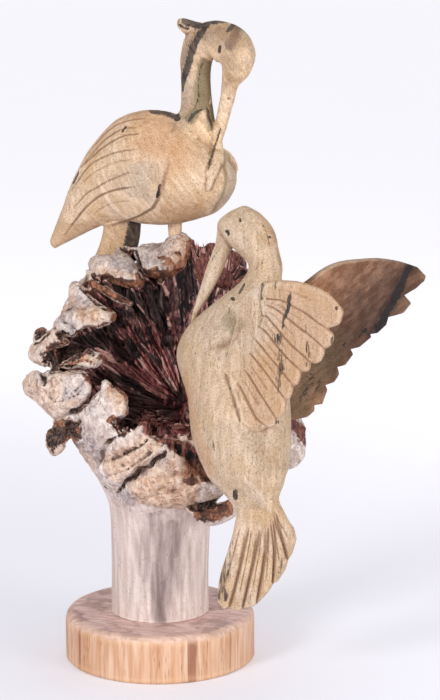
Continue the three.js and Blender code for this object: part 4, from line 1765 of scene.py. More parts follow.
@dataclass
class AlightingBird:
    """The bird that alights on the lip with both wings raised, and its tail.

    front is how far back, in millimetres, the wing's root reaches, and the rows are the photograph's:
    where the near wing begins, where its step ends and where its warm tint fades out. The grids are the
    faces round and along each limb, and for the wing those across a feather and along it.
    """

    voxel: float = 0.78
    front: float = -60.0
    wing_row: float = 276.0
    step_row: float = 330.0
    tint_rows: tuple[float, float] = (438.0, 420.0)
    body_grid: tuple[int, int] = (100, 190)
    beak_grid: tuple[int, int] = (40, 60)
    wing_grid: tuple[int, int] = (8, 90)
    dark: tuple[Stroke, ...] = marks("""
    2.8 .7 .7 0 | 226.6 231.8 227.6 234.2;
    1 .6 | 222 246 217 252 212 260;
    3.2 .95 .6 | 235.5 489 235.5 500;
    1.2 .42 | 225 374 228 383 231 393 236 408 240 421;
    1.6 .9 | 245 283 242 289 238.6 294;
    2.2 1 .7 0 | 232 299 233.5 299;
    4 .44 .2 | 229 308 228 316;
    3 .6 | 277 420 277 424;
    1 .5 | 261 221 266 232 270 245;
    1.4 .8 .7 0 | 239.8 219 240.2 221;
    1.6 .9 .7 0 | 269.6 236.6 270.4 237.4;
    1.6 .9 .7 0 | 261.6 262.6 262.4 263.4;
    1.2 .5 | 203 420 205 434;
    1.2 .5 | 213 440 214 452
    """)
    olive: tuple[Stroke, ...] = marks("""
    15 .55 .3 | 222 318 232 322 239 332;
    7 .5 .3 | 274 224 280 244 282 266;
    20 .3 .2 | 246 430 262 450 270 478
    """)
    warm: tuple[Stroke, ...] = marks("""
    15 .45 .2 | 262 210 272 224 276 246;
    9 .5 .2 | 186 372 190 400 200 440 214 478;
    14 .3 0 | 258 446 270 454 276 470
    """)
    root: Path = pairs("247 292 238 318 232 344 224 368")
    wing_start: Path = pairs(
        "264 270 262 283 261 296 262 308 264 318 257 333 247 350 237 366 229 380 238 424"
    )
    fold: Path = pairs("243 312 240 326 235 338 224 345 211 349 196 354")
    creases: tuple[Stroke, ...] = marks("""
    3.2 .6 .3 | 225 374 228 383 231 393 236 408 240 421
    """)

    def build(self) -> list[bpy.types.Object]:
        """Makes the body with the near wing, the far wing and the tail, and dresses them.

        Returns:
            All three pieces.
        """
        near, far, tail = self.fans()
        wing = near.body(*self.wing_grid)
        body = limb(ALIGHTING, ALIGHTING_BODY, *self.body_grid)
        beak = limb(ALIGHTING, ALIGHTING_BEAK, *self.beak_grid)
        clay = Clay(melded("alighting_bird", [body, beak, wing], self.voxel))
        spots = PHOTO.pixels(clay.points)
        seen = ease(0.02, 0.3, facing(clay.points, clay.normals))
        root = ease(9.0, 4.0, nearest(self.root, spots)[0] - 4.0) * seen
        clay.smooth(40, root * (clay.points[:, 1] < self.front))
        clay.smooth(2)
        self.sink(clay, tail)
        clay.read_normals()
        spots = PHOTO.pixels(clay.points)
        seen = ease(0.02, 0.3, facing(clay.points, clay.normals))
        gap = (clay.points - np.array(near.hub)) @ near.normal()
        edge = -signed(self.wing_start, spots)
        on_wing = ease(-6.0, -3.0, gap) * seen * ease(-3.0, 1.0, edge) * (spots[:, 1] > self.wing_row)
        lines = painted(near.strokes(), spots) * on_wing
        ridge = painted(near.strokes(0.5), spots) * on_wing
        grain = 0.3 * lumps(clay.points, 2.5, 61, 2)
        crease = seen * painted(self.creases, spots)
        ink = on_wing * painted(near.ink, spots, 1.5 * grain)
        ink = seen * np.maximum(painted(self.dark, spots, grain), ink)
        eye = seen * painted(self.dark[:1], spots)
        step = 0.9 * ease(-1.0, 1.0, edge) * np.exp(-np.maximum(edge, 0.0) / 9.0) * on_wing
        step = step * (spots[:, 1] < self.step_row)
        away, share = nearest(self.fold, spots)
        near_fold = ease(0.0, 0.3, share) * ease(1.0, 0.6, share)
        bulge = 1.7 * ease(-1.5, 8.0, signed(self.fold, spots)) * ease(34.0, 0.0, away)
        bulge = (bulge - 0.7 * ease(7.0, 0.0, away)) * near_fold
        clay.push(step + seen * bulge - 0.7 * lines - 0.35 * ridge - 1.7 * crease - 0.8 * eye)
        clay.push(0.25 * lumps(clay.points, 9.0, 62, 2) + 0.06 * lumps(clay.points, 2.4, 63))
        clay.mark("ink", ink)
        clay.mark("olive", seen * painted(self.olive, spots, grain))
        tint = ease(-1.0, 22.0, edge) * on_wing * ease(*self.tint_rows, spots[:, 1])
        rim = on_wing * painted([Stroke(near.lines[0][1:], 2.4, 1.0, 0.4)], spots)
        clay.mark("warm", np.maximum(seen * painted(self.warm, spots, grain), np.maximum(0.5 * tint, rim)))
        for name in ("grey", "strut", "umber"):
            clay.mark(name, np.zeros(clay.count))
        crease = np.maximum(crease, seen * near_fold * ease(6.0, 0.0, away))
        ends = itertools.pairwise(line[-1] for line in near.lines)
        tips = [Stroke((a, *tip, b), 1.8, 0.7, 0.3, 0.0) for (a, b), tip in zip(ends, near.tips)]
        lines = np.maximum(lines, on_wing * painted(tips, spots))
        # The creases and the fold under the breast take a little groove colour as painted shade.
        clay.mark("groove", np.maximum(0.3 * crease, np.maximum(0.75 * lines, 0.45 * ridge)))
        clay.mark("relief", clay.hollows(5))
        pieces = [clay.finish(CarvedWood.ALIGHTING.value.build(), "carved_wood", "carving")]
        return pieces + [far.build(), tail.build()]

    def sink(self, clay: Clay, tail: "Fan") -> None:
        """Lets the end of the body run out under the tail's face, so that no step is left.

        Args:
            clay: The body's skin.
            tail: The tail.
        """
        _, high, _ = ALIGHTING.local(clay.points).T
        gap = (clay.points - np.array(tail.hub)) @ tail.normal()
        most = np.interp(high, (-104.0, -96.0, -88.0, -78.0, -66.0, -50.0), (-2.0, 0.5, 4.0, 9.0, 15.0, 60.0))
        over = np.maximum(gap - most, 0.0)
        clay.points -= (over - 0.15 * np.minimum(over, 2.0))[:, None] * tail.normal()

    def fans(self) -> tuple[Fan, ...]:
        """Returns both wings and the tail.

        Returns:
            The near wing, the far wing and the tail.
        """
        near = Fan(
            "near_wing", (48, -78, 212), (0.785, -0.62, 0), NEAR_WING_LINES, NEAR_WING_TIPS, 4.0, 11.0,
            CarvedWood.ALIGHTING.value, cut_front=0.0, cut_back=0.0, starts=0.28,
            ink=marks("""
            2.8 .8 .3 | 291 292 289 301 287 310 284 320 282 330;
            5.5 .5 .2 | 283 328 279 338 279 350 281 362 279 374 277 394;
            3.4 .4 .2 | 272 334 280 348 288 360;
            2.4 .7 .3 | 264 283 262 290 262.5 300;
            2 .45 .3 | 277 281 275 290 274 298;
            2.6 .42 .3 | 306 323 305 334;
            2.6 .48 .2 | 307 340 307.6 350 310 358;
            2.6 .5 .3 | 306 362 309 369;
            2.4 .7 .3 | 332 337 331 344;
            2.2 1 .7 0 | 336.4 307.6 337 309
            """),
        )
        far = Fan(
            "far_wing", (58, -46, 209), (0.93, 0.368, 0), FAR_WING_LINES, FAR_WING_TIPS, 4.0, 10.0,
            CarvedWood.FAR_WING.value, cut_front=0.12, cut_back=1.0, starts=0.3, line=0.0,
            ink=marks("""
            6 1 .3 | 411 263 404 279 396 295 388 311 380 326 376 334;
            4 .6 .2 | 366 328 358 338;
            3 .35 .2 | 346 342 338 354;
            7 .4 .1 | 313 374 307 388 300 402;
            3 .36 .1 | 320 380 314 396;
            3 .4 .1 | 415 277 424 282 414 290
            """),
            # The umber band on the far wing is darker wood with painted shade.
            umber=marks("""
            26 1 0 0 | 412 262 400 284 388 306 372 334;
            66 .8 0 0 | 400 286 376 308 350 332 326 356;
            26 .6 0 0 | 320 360 304 384 294 408
            """),
            olive=marks("""
            36 .4 0 0 | 322 350 306 376 292 412
            """),
        )
        tail = Fan(
            "tail", (61, -80, 140), (0.92, -0.39, 0), TAIL_LINES, TAIL_TIPS, 4.0, 11.0,
            CarvedWood.TAIL.value, cut_front=1.2, cut_back=0.8, flute=0.8, starts=0.2,
            halves=((0.22, 0.9),), line=2.2,
            ink=marks("""
            9 .44 .1 | 228 556 223 580 224 602;
            3 .36 .3 | 232 540 230 560 228 580;
            4 .4 .3 | 284 556 278 574;
            3 .36 .3 | 252 590 249 604
            """),
        )
        return near, far, tail


@dataclass
class TurnedBase:
    """The round base, turned from another wood."""

    radius: float = 60.0
    height: float = FOOT
    rounding: float = 5.0
    bevel: float = 1.2
    sides: int = 240

    def profile(self) -> list[tuple[float, float]]:
        """Returns the half outline, from the middle of the underside to the middle of the top.

        Returns:
            Radius and height of each corner.
        """
        outline = [(0.0, 0.0), (self.radius - self.bevel, 0.0), (self.radius, self.bevel)]
        for k in range(9):
            angle = math.pi / 2 * k / 8
            outline.append((
                self.radius - self.rounding * (1.0 - math.cos(angle)),
                self.height - self.rounding * (1.0 - math.sin(angle)),
            ))
        return outline + [(0.0, self.height)]

    def build(self) -> bpy.types.Object:
        """Makes the piece and dresses it.

        Returns:
            The piece.
        """
        body = bmesh.new()
        outline = []
        for (r, z), (r_next, z_next) in itertools.pairwise(self.profile()):
            steps = max(1, round(math.hypot(r_next - r, z_next - z) / 1.5))
            outline += [(r + (r_next - r) * k / steps, z + (z_next - z) * k / steps) for k in range(steps)]
        outline.append((0.0, self.height))
        verts = [body.verts.new((r * MM, 0.0, z * MM)) for r, z in outline]
        edges = [body.edges.new(pair) for pair in itertools.pairwise(verts)]
        bmesh.ops.spin(
            body, geom=[*verts, *edges], axis=(0, 0, 1), cent=(0, 0, 0), dvec=(0, 0, 0),
            angle=2.0 * math.pi, steps=self.sides, use_merge=True, use_duplicate=False,
        )
        bmesh.ops.remove_doubles(body, verts=body.verts, dist=1e-6)
        bmesh.ops.recalc_face_normals(body, faces=body.faces)
        clay = Clay(to_object("turned_base", body))
        away, high = np.hypot(clay.points[:, 0], clay.points[:, 1]), clay.points[:, 2]
        side = ease(self.height + 0.1, self.height - self.rounding, high) * (high > 1.5)
        clay.push(side * (0.3 * lumps(clay.points * (1, 1, 0.3), 14.0, 71, 2)))
        top = (clay.points[:, 2] > 20.0) * ease(self.radius, self.radius - 8.0, away)
        clay.push(top * (0.3 * lumps(clay.points, 12.0, 72, 2) + 0.12 * lumps(clay.points, 3.0, 73) - 0.15))
        uneven = clay.points[:, 2] + 0.8 * lumps(clay.points, 5.0, 74)
        clay.mark("top", ease(self.height - self.rounding, self.height - 0.8, uneven))
        clay.mark("relief", clay.hollows(3))
        return clay.finish(TurnedWood().build(), "base_wood", "base")


class Wires:
    """A node tree, with short calls that add nodes and join them."""

    def __init__(self, tree: bpy.types.NodeTree) -> None:
        """Keeps the tree."""
        self.tree = tree

    def node(self, kind: str, inputs: Inputs | None = None, **settings: object) -> bpy.types.Node:
        """Adds a node.

        Args:
            kind: The node's type, without its first word.
            inputs: Values or other nodes' outputs, by input.
            settings: The node's own settings.

        Returns:
            The node.
        """
        made = self.tree.nodes.new(f"ShaderNode{kind}")
        for name, value in settings.items():
            setattr(made, name, value)
        return self.feed(made, inputs or {})

    def feed(self, made: bpy.types.Node, inputs: Inputs) -> bpy.types.Node:
        """Joins outputs to a node's inputs, or sets their values.

        Args:
            made: The node.
            inputs: Values or other nodes' outputs, by input.

        Returns:
            The node.
        """
        for key, value in inputs.items():
            if isinstance(value, bpy.types.NodeSocket):
                self.tree.links.new(value, made.inputs[key])
            else:
                made.inputs[key].default_value = value
        return made

    def math(self, operation: str, *values: object) -> Output:
        """Works out a value."""
        return self.node("Math", dict(enumerate(values)), operation=operation).outputs[0]

    def mix(self, share: object, below: object, above: object, blend: str = "MIX") -> Output:
        """Lays one colour over another.

        Args:
            share: How much of the upper one shows.
            below: The lower colour, an output or three 8-bit steps.
            above: The upper colour, in the same way.
            blend: How they blend.

        Returns:
            The colour's output.
        """
        below, above = (paint(*one) if isinstance(one, tuple) else one for one in (below, above))
        inputs = {0: share, 6: below, 7: above}
        return self.node("Mix", inputs, data_type="RGBA", blend_type=blend).outputs[2]

    def veil(self, mask: Output, most: float | Output, below: object, above: object) -> Output:
        """Lays one colour over another where a mask is, by a share at most."""
        return self.mix(self.math("MULTIPLY", mask, most), below, above)

    def patch(
        self, spot: Output, scale: float, detail: float, low: float, high: float, most: float = 1.0,
        bend: float = 0.0,
    ) -> Output:
        """Returns patches where noise lies between low and high, most at the most."""
        return self.band(self.noise(spot, scale, detail, bend), low, high, 0.0, most)

    def band(self, value: object, low: float, high: float, start: float = 0.0, end: float = 1.0) -> Output:
        """Turns a value between low and high smoothly into one between start and end."""
        inputs = {"Value": value, "From Min": low, "From Max": high, "To Min": start, "To Max": end}
        return self.node("MapRange", inputs, interpolation_type="SMOOTHSTEP").outputs[0]

    def noise(self, vector: Output, scale: object, detail: float = 2.0, bend: float = 0.0) -> Output:
        """Adds noise, about 0.3 to 0.7."""
        inputs = {"Vector": vector, "Scale": scale, "Detail": detail, "Distortion": bend}
        return self.node("TexNoise", inputs).outputs[0]

    def read(self, name: str) -> Output:
        """Reads a value that the piece stores at its points."""
        return self.node("Attribute", attribute_name=name).outputs["Fac"]

    def ragged(self, name: str, vector: Output, scale: float, middle: float = 0.38) -> Output:
        """Reads a soft mark that the piece stores and gives it a crisp, uneven edge."""
        grit = self.math("MULTIPLY", self.math("SUBTRACT", self.noise(vector, scale, 4.0), 0.5), 1.5)
        return self.band(self.math("ADD", self.read(name), grit), middle - 0.2, middle + 0.2)

    def place(self, stretch: Triple = (1.0, 1.0, 1.0), turn: Triple = (0.0, 0.0, 0.0)) -> Output:
        """Returns object coordinates, turned and stretched.

        Args:
            stretch: How much finer noise gets along each axis.
            turn: Degrees about each axis.

        Returns:
            The coordinates' output.
        """
        spot = self.node("TexCoord").outputs["Object"]
        turned = self.node("Mapping", {"Vector": spot, "Rotation": tuple(map(math.radians, turn))})
        return self.node("Mapping", {"Vector": turned.outputs[0], "Scale": stretch}).outputs[0]

    def use(self, group: bpy.types.NodeTree, **inputs: object) -> bpy.types.Node:
        """Places a shared group.

        Args:
            group: The group.
            inputs: Values or other nodes' outputs, by input.

        Returns:
            Its node.
        """
        made = self.tree.nodes.new("ShaderNodeGroup")
        made.node_tree = group
        return self.feed(made, inputs)


class Socket(Enum):
    """The kinds of value that go in and out of a shared group."""

    NUMBER = "NodeSocketFloat"
    SPOT = "NodeSocketVector"
    PAINT = "NodeSocketColor"


def shared_group(
    name: str, inputs: dict[str, Socket], outputs: dict[str, Socket]
) -> tuple[Wires, bpy.types.Node, bpy.types.Node]:
    """Starts a shared node group.

    Args:
        name: Its name.
        inputs: Names and kinds of its inputs.
        outputs: Names and kinds of its outputs.

    Returns:
        Its wires, its input node and its output node.
    """
    tree = bpy.data.node_groups.new(name, "ShaderNodeTree")
    for title, kind in inputs.items():
        tree.interface.new_socket(name=title, in_out="INPUT", socket_type=kind.value)
    for title, kind in outputs.items():
        tree.interface.new_socket(name=title, in_out="OUTPUT", socket_type=kind.value)
    return Wires(tree), tree.nodes.new("NodeGroupInput"), tree.nodes.new("NodeGroupOutput")


def grain_group() -> bpy.types.NodeTree:
    """Returns the group for long grain: wide bands, streaks and short pores, built once.

    Returns:
        The group.
    """
    if "long_grain" in bpy.data.node_groups:
        return bpy.data.node_groups["long_grain"]
    outputs = {"Bands": Socket.NUMBER, "Streaks": Socket.NUMBER, "Pores": Socket.NUMBER}
    inputs = {"Vector": Socket.SPOT, "Fineness": Socket.NUMBER}
    wires, source, target = shared_group("long_grain", inputs, outputs)
    spot, fine = source.outputs["Vector"], source.outputs["Fineness"]
    bands = wires.noise(spot, wires.math("MULTIPLY", fine, 70.0), 2.0, 0.6)
    streaks = wires.noise(spot, wires.math("MULTIPLY", fine, 330.0), 4.0, 0.3)
    pores = wires.noise(spot, wires.math("MULTIPLY", fine, 1500.0), 1.0)
    places = wires.noise(spot, wires.math("MULTIPLY", fine, 190.0), 1.0)
    dashes = wires.math("MULTIPLY", wires.band(pores, 0.60, 0.70), wires.band(places, 0.46, 0.58))
    bands, streaks = wires.band(bands, 0.32, 0.68), wires.band(streaks, 0.34, 0.66)
    wires.feed(target, {"Bands": bands, "Streaks": streaks, "Pores": dashes})
    return wires.tree


def speckle_group() -> bpy.types.NodeTree:
    """Returns the group for small dark specks of several sizes, built once.

    Returns:
        The group.
    """
    if "specks" in bpy.data.node_groups:
        return bpy.data.node_groups["specks"]
    inputs = {"Vector": Socket.SPOT, "Scale": Socket.NUMBER, "Amount": Socket.NUMBER}
    wires, source, target = shared_group("specks", inputs, {"Specks": Socket.NUMBER})
    spot = source.outputs["Vector"]
    cell = wires.node("TexVoronoi", {"Vector": spot, "Scale": source.outputs["Scale"], "Randomness": 1.0})
    pick = wires.node("SeparateColor", {"Color": cell.outputs["Color"]})
    size = wires.math("MULTIPLY", wires.math("MULTIPLY", pick.outputs[0], 0.28), source.outputs["Amount"])
    dot = wires.band(wires.math("SUBTRACT", cell.outputs["Distance"], size), 0.08, -0.02)
    kept = wires.math("LESS_THAN", pick.outputs[1], source.outputs["Amount"])
    wires.feed(target, {"Specks": wires.math("MULTIPLY", dot, kept)})
    return wires.tree


def wear_and_shading_group() -> bpy.types.NodeTree:
    """Returns the group that turns relief into dirt with painted shade in recesses and rubbed wear with a
    painted highlight on edges, built once.

    Returns:
        The group.
    """
    if "relief_wear_and_shading" in bpy.data.node_groups:
        return bpy.data.node_groups["relief_wear_and_shading"]
    inputs = {"Vector": Socket.SPOT, "Relief": Socket.NUMBER}
    outputs = {"DirtAndShade": Socket.NUMBER, "RubbedAndHighlight": Socket.NUMBER}
    wires, source, target = shared_group("relief_wear_and_shading", inputs, outputs)
    patch = wires.math("SUBTRACT", wires.noise(source.outputs["Vector"], 260.0, 3.0), 0.5)
    uneven = wires.math("ADD", source.outputs["Relief"], wires.math("MULTIPLY", patch, 0.7))
    # Recesses darken as dirt and painted shade, and edges lighten as rubbed wear and a painted highlight.
    wires.feed(target, {"DirtAndShade": wires.band(uneven, 0.1, 0.75), "RubbedAndHighlight": wires.band(uneven, -0.15, -0.8)})
    return wires.tree


def paint(red: int, green: int, blue: int) -> tuple[float, float, float, float]:
    """Turns a colour in 8-bit steps into Blender's linear values.

    Args:
        red: Red, 0 to 255.
        green: Green.
        blue: Blue.

    Returns:
        Four linear channels.
    """

    def linear(step: int) -> float:
        """Returns one channel's linear value."""
        share = step / 255.0
        return share / 12.92 if share <= 0.04045 else ((share + 0.055) / 1.055) ** 2.4

    return linear(red), linear(green), linear(blue), 1.0


def new_material(name: str) -> tuple[bpy.types.Material, Wires, bpy.types.Node]:
    """Starts a material with its shader.

    Args:
        name: The material's name.

    Returns:
        The material, its wires and its shader.
    """
    material = bpy.data.materials.new(name)
    material.use_nodes = True
    material.node_tree.nodes.clear()
    wires = Wires(material.node_tree)
    shader = wires.node("BsdfPrincipled")
    wires.node("OutputMaterial", {"Surface": shader.outputs[0]})
    return material, wires, shader


def dress(
    wires: Wires, shader: bpy.types.Node, colour: Output, rough: Output, height: Output, depth: float
) -> None:
    """Joins colour, roughness and fine relief to a shader.

    Args:
        wires: The material's tree.
        shader: Its shader.
        colour: The colour's output.
        rough: The roughness output.
        height: The output that stands for height, 0 to 1.
        depth: How high 1 is, in metres.
    """
    bump = wires.node("Bump", {"Strength": 1.0, "Distance": depth, "Height": height})
    wires.feed(shader, {"Base Color": colour, "Roughness": rough, "Normal": bump.outputs[0]})


@dataclass(frozen=True)
class Finish:
    """A carved wood finish: its colours and how its grain lies."""

    name: str
    light: Triple
    dark: Triple
    patch: Triple = (186, 148, 104)
    turn: Triple = (0.0, 0.0, 0.0)
    stretch: Triple = (1.0, 1.0, 0.14)
    fineness: float = 1.0
    specks: float = 0.45
    speck_scale: float = 420.0
    umber: Triple = (106, 68, 48)
    dirt_and_shade: float = 0.6
    roughness: float = 0.62
    freckles: float = 0.4

    def build(self) -> bpy.types.Material:
        """Makes the material.

        Returns:
            The material.
        """
        material, wires, shader = new_material(self.name)
        along = wires.place(self.stretch, self.turn)
        plain = wires.place()
        grain = wires.use(grain_group(), Vector=along, Fineness=self.fineness)
        short = wires.place((1.0, 1.0, 0.55), self.turn)
        specks = wires.use(speckle_group(), Vector=short, Scale=self.speck_scale, Amount=self.specks)
        wear_and_shading = wires.use(wear_and_shading_group(), Vector=plain, Relief=wires.read("relief"))
        colour = wires.mix(grain.outputs["Streaks"], self.light, self.dark)
        blotch = wires.patch(plain, 55.0, 3.0, 0.45, 0.68, bend=0.5)
        colour = wires.veil(blotch, 0.55, colour, self.patch)
        golden = wires.patch(plain, 33.0, 2.0, 0.45, 0.6, 0.6)
        colour = wires.mix(golden, colour, (252, 243, 222), blend="MULTIPLY")
        colour = wires.veil(grain.outputs["Bands"], 0.35, colour, self.dark)
        # Rubbed wear with a painted highlight on edges, then dirt with painted shade in recesses.
        colour = wires.veil(wear_and_shading.outputs["RubbedAndHighlight"], 0.35, colour, (238, 220, 196))
        colour = wires.veil(wear_and_shading.outputs["DirtAndShade"], self.dirt_and_shade, colour, (128, 88, 60))
        # The groove colour is the grooves' own darker colour, and also painted shade where recesses between
        # feathers and creases carry it.
        for mask, stain, most in (
            ("warm", (200, 148, 104), 0.82),
            ("umber", self.umber, 0.95),
            ("grey", (172, 160, 146), 0.9),
            ("olive", (130, 114, 82), 0.92),
            ("strut", (206, 172, 132), 0.7),
            ("groove", (126, 82, 54), 0.85),
        ):
            colour = wires.veil(wires.read(mask), most, colour, stain)
        colour = wires.veil(grain.outputs["Pores"], 0.4, colour, (104, 74, 46))
        colour = wires.veil(specks.outputs["Specks"], 0.5, colour, (124, 90, 62))
        freckles = wires.patch(plain, 900.0, 3.0, 0.5, 0.6, self.freckles, bend=0.4)
        colour = wires.mix(freckles, colour, (226, 208, 192), blend="MULTIPLY")
        dust = wires.patch(plain, 1250.0, 2.0, 0.5, 0.62, 0.5)
        colour = wires.mix(dust, colour, (196, 170, 152), blend="MULTIPLY")
        thin = wires.band(grain.outputs["Streaks"], 0.0, 1.0, 0.95, 0.75)
        colour = wires.veil(wires.ragged("ink", along, 1000.0, 0.42), thin, colour, (27, 22, 24))
        rough = wires.band(grain.outputs["Streaks"], 0.0, 1.0, self.roughness - 0.06, self.roughness + 0.1)
        pits = wires.math("ADD", grain.outputs["Pores"], specks.outputs["Specks"])
        height = wires.math("SUBTRACT", wires.math("MULTIPLY", grain.outputs["Streaks"], 0.5), pits)
        dress(wires, shader, colour, rough, height, 0.00018)
        return material


class CarvedWood(Enum):
    """The carved parts' finishes."""

    STANDING = Finish(
        "standing_bird_wood", (248, 222, 194), (214, 184, 152), (214, 176, 132), turn=(0.0, 35.0, 0.0),
        specks=0.3,
    )
    ALIGHTING = Finish("alighting_bird_wood", (226, 204, 182), (197, 173, 148), (200, 172, 132), specks=0.55)
    # The far wing's colours are its darker wood with painted shade, since the whole wing lies in shade.
    FAR_WING = Finish(
        "far_wing_wood_and_shade", (184, 140, 112), (134, 95, 71), (124, 88, 64), turn=(0.0, -55.0, 0.0), specks=0.45,
        umber=(58, 39, 33), roughness=0.85,
    )
    TAIL = Finish("tail_wood", (228, 205, 180), (203, 174, 146), (196, 164, 124), specks=0.5, dirt_and_shade=1.0)


@dataclass(frozen=True)
class Bark:
    """The burl's grey bark, its broken places and the plain stem."""

    name: str = "burl_bark"

    def build(self) -> bpy.types.Material:
        """Makes the material.

        Returns:
            The material.
        """
        material, wires, shader = new_material(self.name)
        plain = wires.place()
        along = wires.place((1.0, 1.0, 0.1))
        rays = wires.use(grain_group(), Vector=along, Fineness=1.0)
        aslant = wires.place((1.0, 0.45, 0.6), (25.0, 0.0, 20.0))
        knotty = wires.use(grain_group(), Vector=aslant, Fineness=1.3)
        specks = wires.use(speckle_group(), Vector=plain, Scale=330.0, Amount=0.5)
        wear_and_shading = wires.use(wear_and_shading_group(), Vector=plain, Relief=wires.read("relief"))
        patches = wires.noise(plain, 62.0, 4.0, 0.8)
        stem = wires.mix(rays.outputs["Streaks"], (244, 228, 220), (214, 192, 184))
        stem = wires.veil(rays.outputs["Bands"], 0.4, stem, (196, 172, 160))
        bark = wires.mix(knotty.outputs["Streaks"], (240, 225, 217), (196, 176, 168))
        bark = wires.mix(wires.band(patches, 0.5, 0.66, 0.0, 0.6), bark, (172, 148, 136))
        bark = wires.mix(wires.patch(plain, 38.0, 3.0, 0.42, 0.3, 0.6), bark, (238, 226, 216))
        colour = wires.mix(wires.read("bark"), stem, bark)
        tan = wires.mix(knotty.outputs["Streaks"], (236, 204, 174), (206, 162, 132))
        tan = wires.mix(wires.patch(plain, 140.0, 4.0, 0.5, 0.64, 0.6, bend=1.0), tan, (162, 108, 78))
        sunned = wires.math("MULTIPLY", wires.patch(plain, 21.0, 2.0, 0.54, 0.62, 0.55), wires.read("bark"))
        colour = wires.mix(wires.math("MAXIMUM", wires.read("warm"), sunned), colour, tan)
        swirl = wires.noise(plain, 95.0, 3.0, 3.0)
        ash = wires.mix(wires.band(swirl, 0.42, 0.56), (186, 174, 176), (118, 108, 114))
        knotted = wires.math("MULTIPLY", wires.read("grey"), wires.read("bark"))
        colour = wires.veil(knotted, wires.band(rays.outputs["Streaks"], 0.0, 1.0, 0.6, 0.95), colour, ash)
        smoke = wires.mix(rays.outputs["Streaks"], (172, 150, 146), (120, 100, 98))
        thin = wires.band(rays.outputs["Bands"], 0.0, 1.0, 0.55, 1.0)
        colour = wires.veil(wires.read("smoke"), thin, colour, smoke)
        # Edges get rubbed wear with a painted highlight.
        colour = wires.veil(wear_and_shading.outputs["RubbedAndHighlight"], 0.4, colour, (242, 230, 220))
        lines = wires.math("ABSOLUTE", wires.math("SUBTRACT", wires.noise(plain, 120.0, 2.0, 2.2), 0.5))
        lined = wires.math("MULTIPLY", wires.band(lines, 0.026, 0.004), wires.read("bark"))
        colour = wires.veil(lined, 0.7, colour, (120, 86, 70))
        # Recesses get dirt with painted shade.
        colour = wires.veil(wear_and_shading.outputs["DirtAndShade"], 0.9, colour, (92, 64, 52))
        tipped = wires.place((1.0, 1.0, 0.12), (35.0, 0.0, 0.0))
        fibres = wires.use(grain_group(), Vector=tipped, Fineness=2.0)
        rust = wires.mix(fibres.outputs["Streaks"], (186, 128, 96), (110, 64, 46))
        rust = wires.mix(wires.patch(plain, 170.0, 3.0, 0.48, 0.62, 0.85), rust, (62, 34, 28))
        colour = wires.mix(wires.ragged("brown", plain, 420.0), colour, rust)
        red = wires.mix(fibres.outputs["Streaks"], (150, 88, 76), (64, 32, 30))
        # Recesses in the broken heartwood get painted shade.
        red = wires.mix(wires.band(wires.read("relief"), 0.0, 0.6), red, (22, 12, 12))
        colour = wires.mix(wires.read("fibre"), colour, red)
        colour = wires.veil(specks.outputs["Specks"], 0.4, colour, (132, 100, 86))
        # The cracks and the gaps between lobes get near-black painted shade over their own dark colour.
        crack_shade = wires.mix(wires.patch(plain, 560.0, 4.0, 0.44, 0.6, bend=1.0), (22, 13, 12), (112, 82, 70))
        colour = wires.mix(wires.ragged("crack", plain, 520.0), colour, crack_shade)
        rough = wires.band(patches, 0.3, 0.7, 0.6, 0.78)
        grit = wires.math("MULTIPLY", wires.noise(plain, 520.0, 4.0), 1.2)
        height = wires.math("ADD", knotty.outputs["Streaks"], grit)
        dress(wires, shader, colour, rough, height, 0.00035)
        return material


@dataclass(frozen=True)
class Heartwood:
    """The dark red fibres inside the cup."""

    name: str = "cup_heartwood"

    def build(self) -> bpy.types.Material:
        """Makes the material.

        Returns:
            The material.
        """
        material, wires, shader = new_material(self.name)
        plain = wires.place()
        grain = wires.use(grain_group(), Vector=wires.place((1.0, 1.0, 0.25), (40.0, 0.0, 0.0)), Fineness=1.6)
        patches = wires.noise(plain, 70.0, 3.0, 0.6)
        colour = wires.mix(grain.outputs["Streaks"], (220, 152, 146), (106, 62, 64))
        colour = wires.mix(wires.band(patches, 0.5, 0.68, 0.0, 0.75), colour, (48, 26, 26))
        blood = wires.mix(grain.outputs["Streaks"], (226, 128, 124), (114, 52, 56))
        colour = wires.veil(wires.read("blush"), 0.75, colour, blood)
        tone = wires.read("tone")
        colour = wires.mix(wires.band(tone, 0.56, 0.84, 0.0, 0.95), colour, (246, 198, 184))
        colour = wires.mix(wires.band(tone, 0.4, 0.06, 0.0, 0.96), colour, (18, 9, 11))
        height = wires.read("relief")
        # Crests get a painted highlight and the deepest recesses painted shade.
        colour = wires.mix(wires.band(height, -0.3, -0.7, 0.0, 0.95), colour, (240, 184, 170))
        colour = wires.mix(wires.band(height, 0.0, 0.35, 0.0, 0.98), colour, (10, 6, 7))
        gloom = wires.ragged("shade", wires.place((1.0, 1.0, 0.25), (40.0, 0.0, 0.0)), 420.0, 0.45)
        colour = wires.veil(gloom, 0.88, colour, (16, 9, 11))
        rough = wires.band(patches, 0.3, 0.7, 0.3, 0.48)
        dress(wires, shader, colour, rough, grain.outputs["Streaks"], 0.0003)
        return material


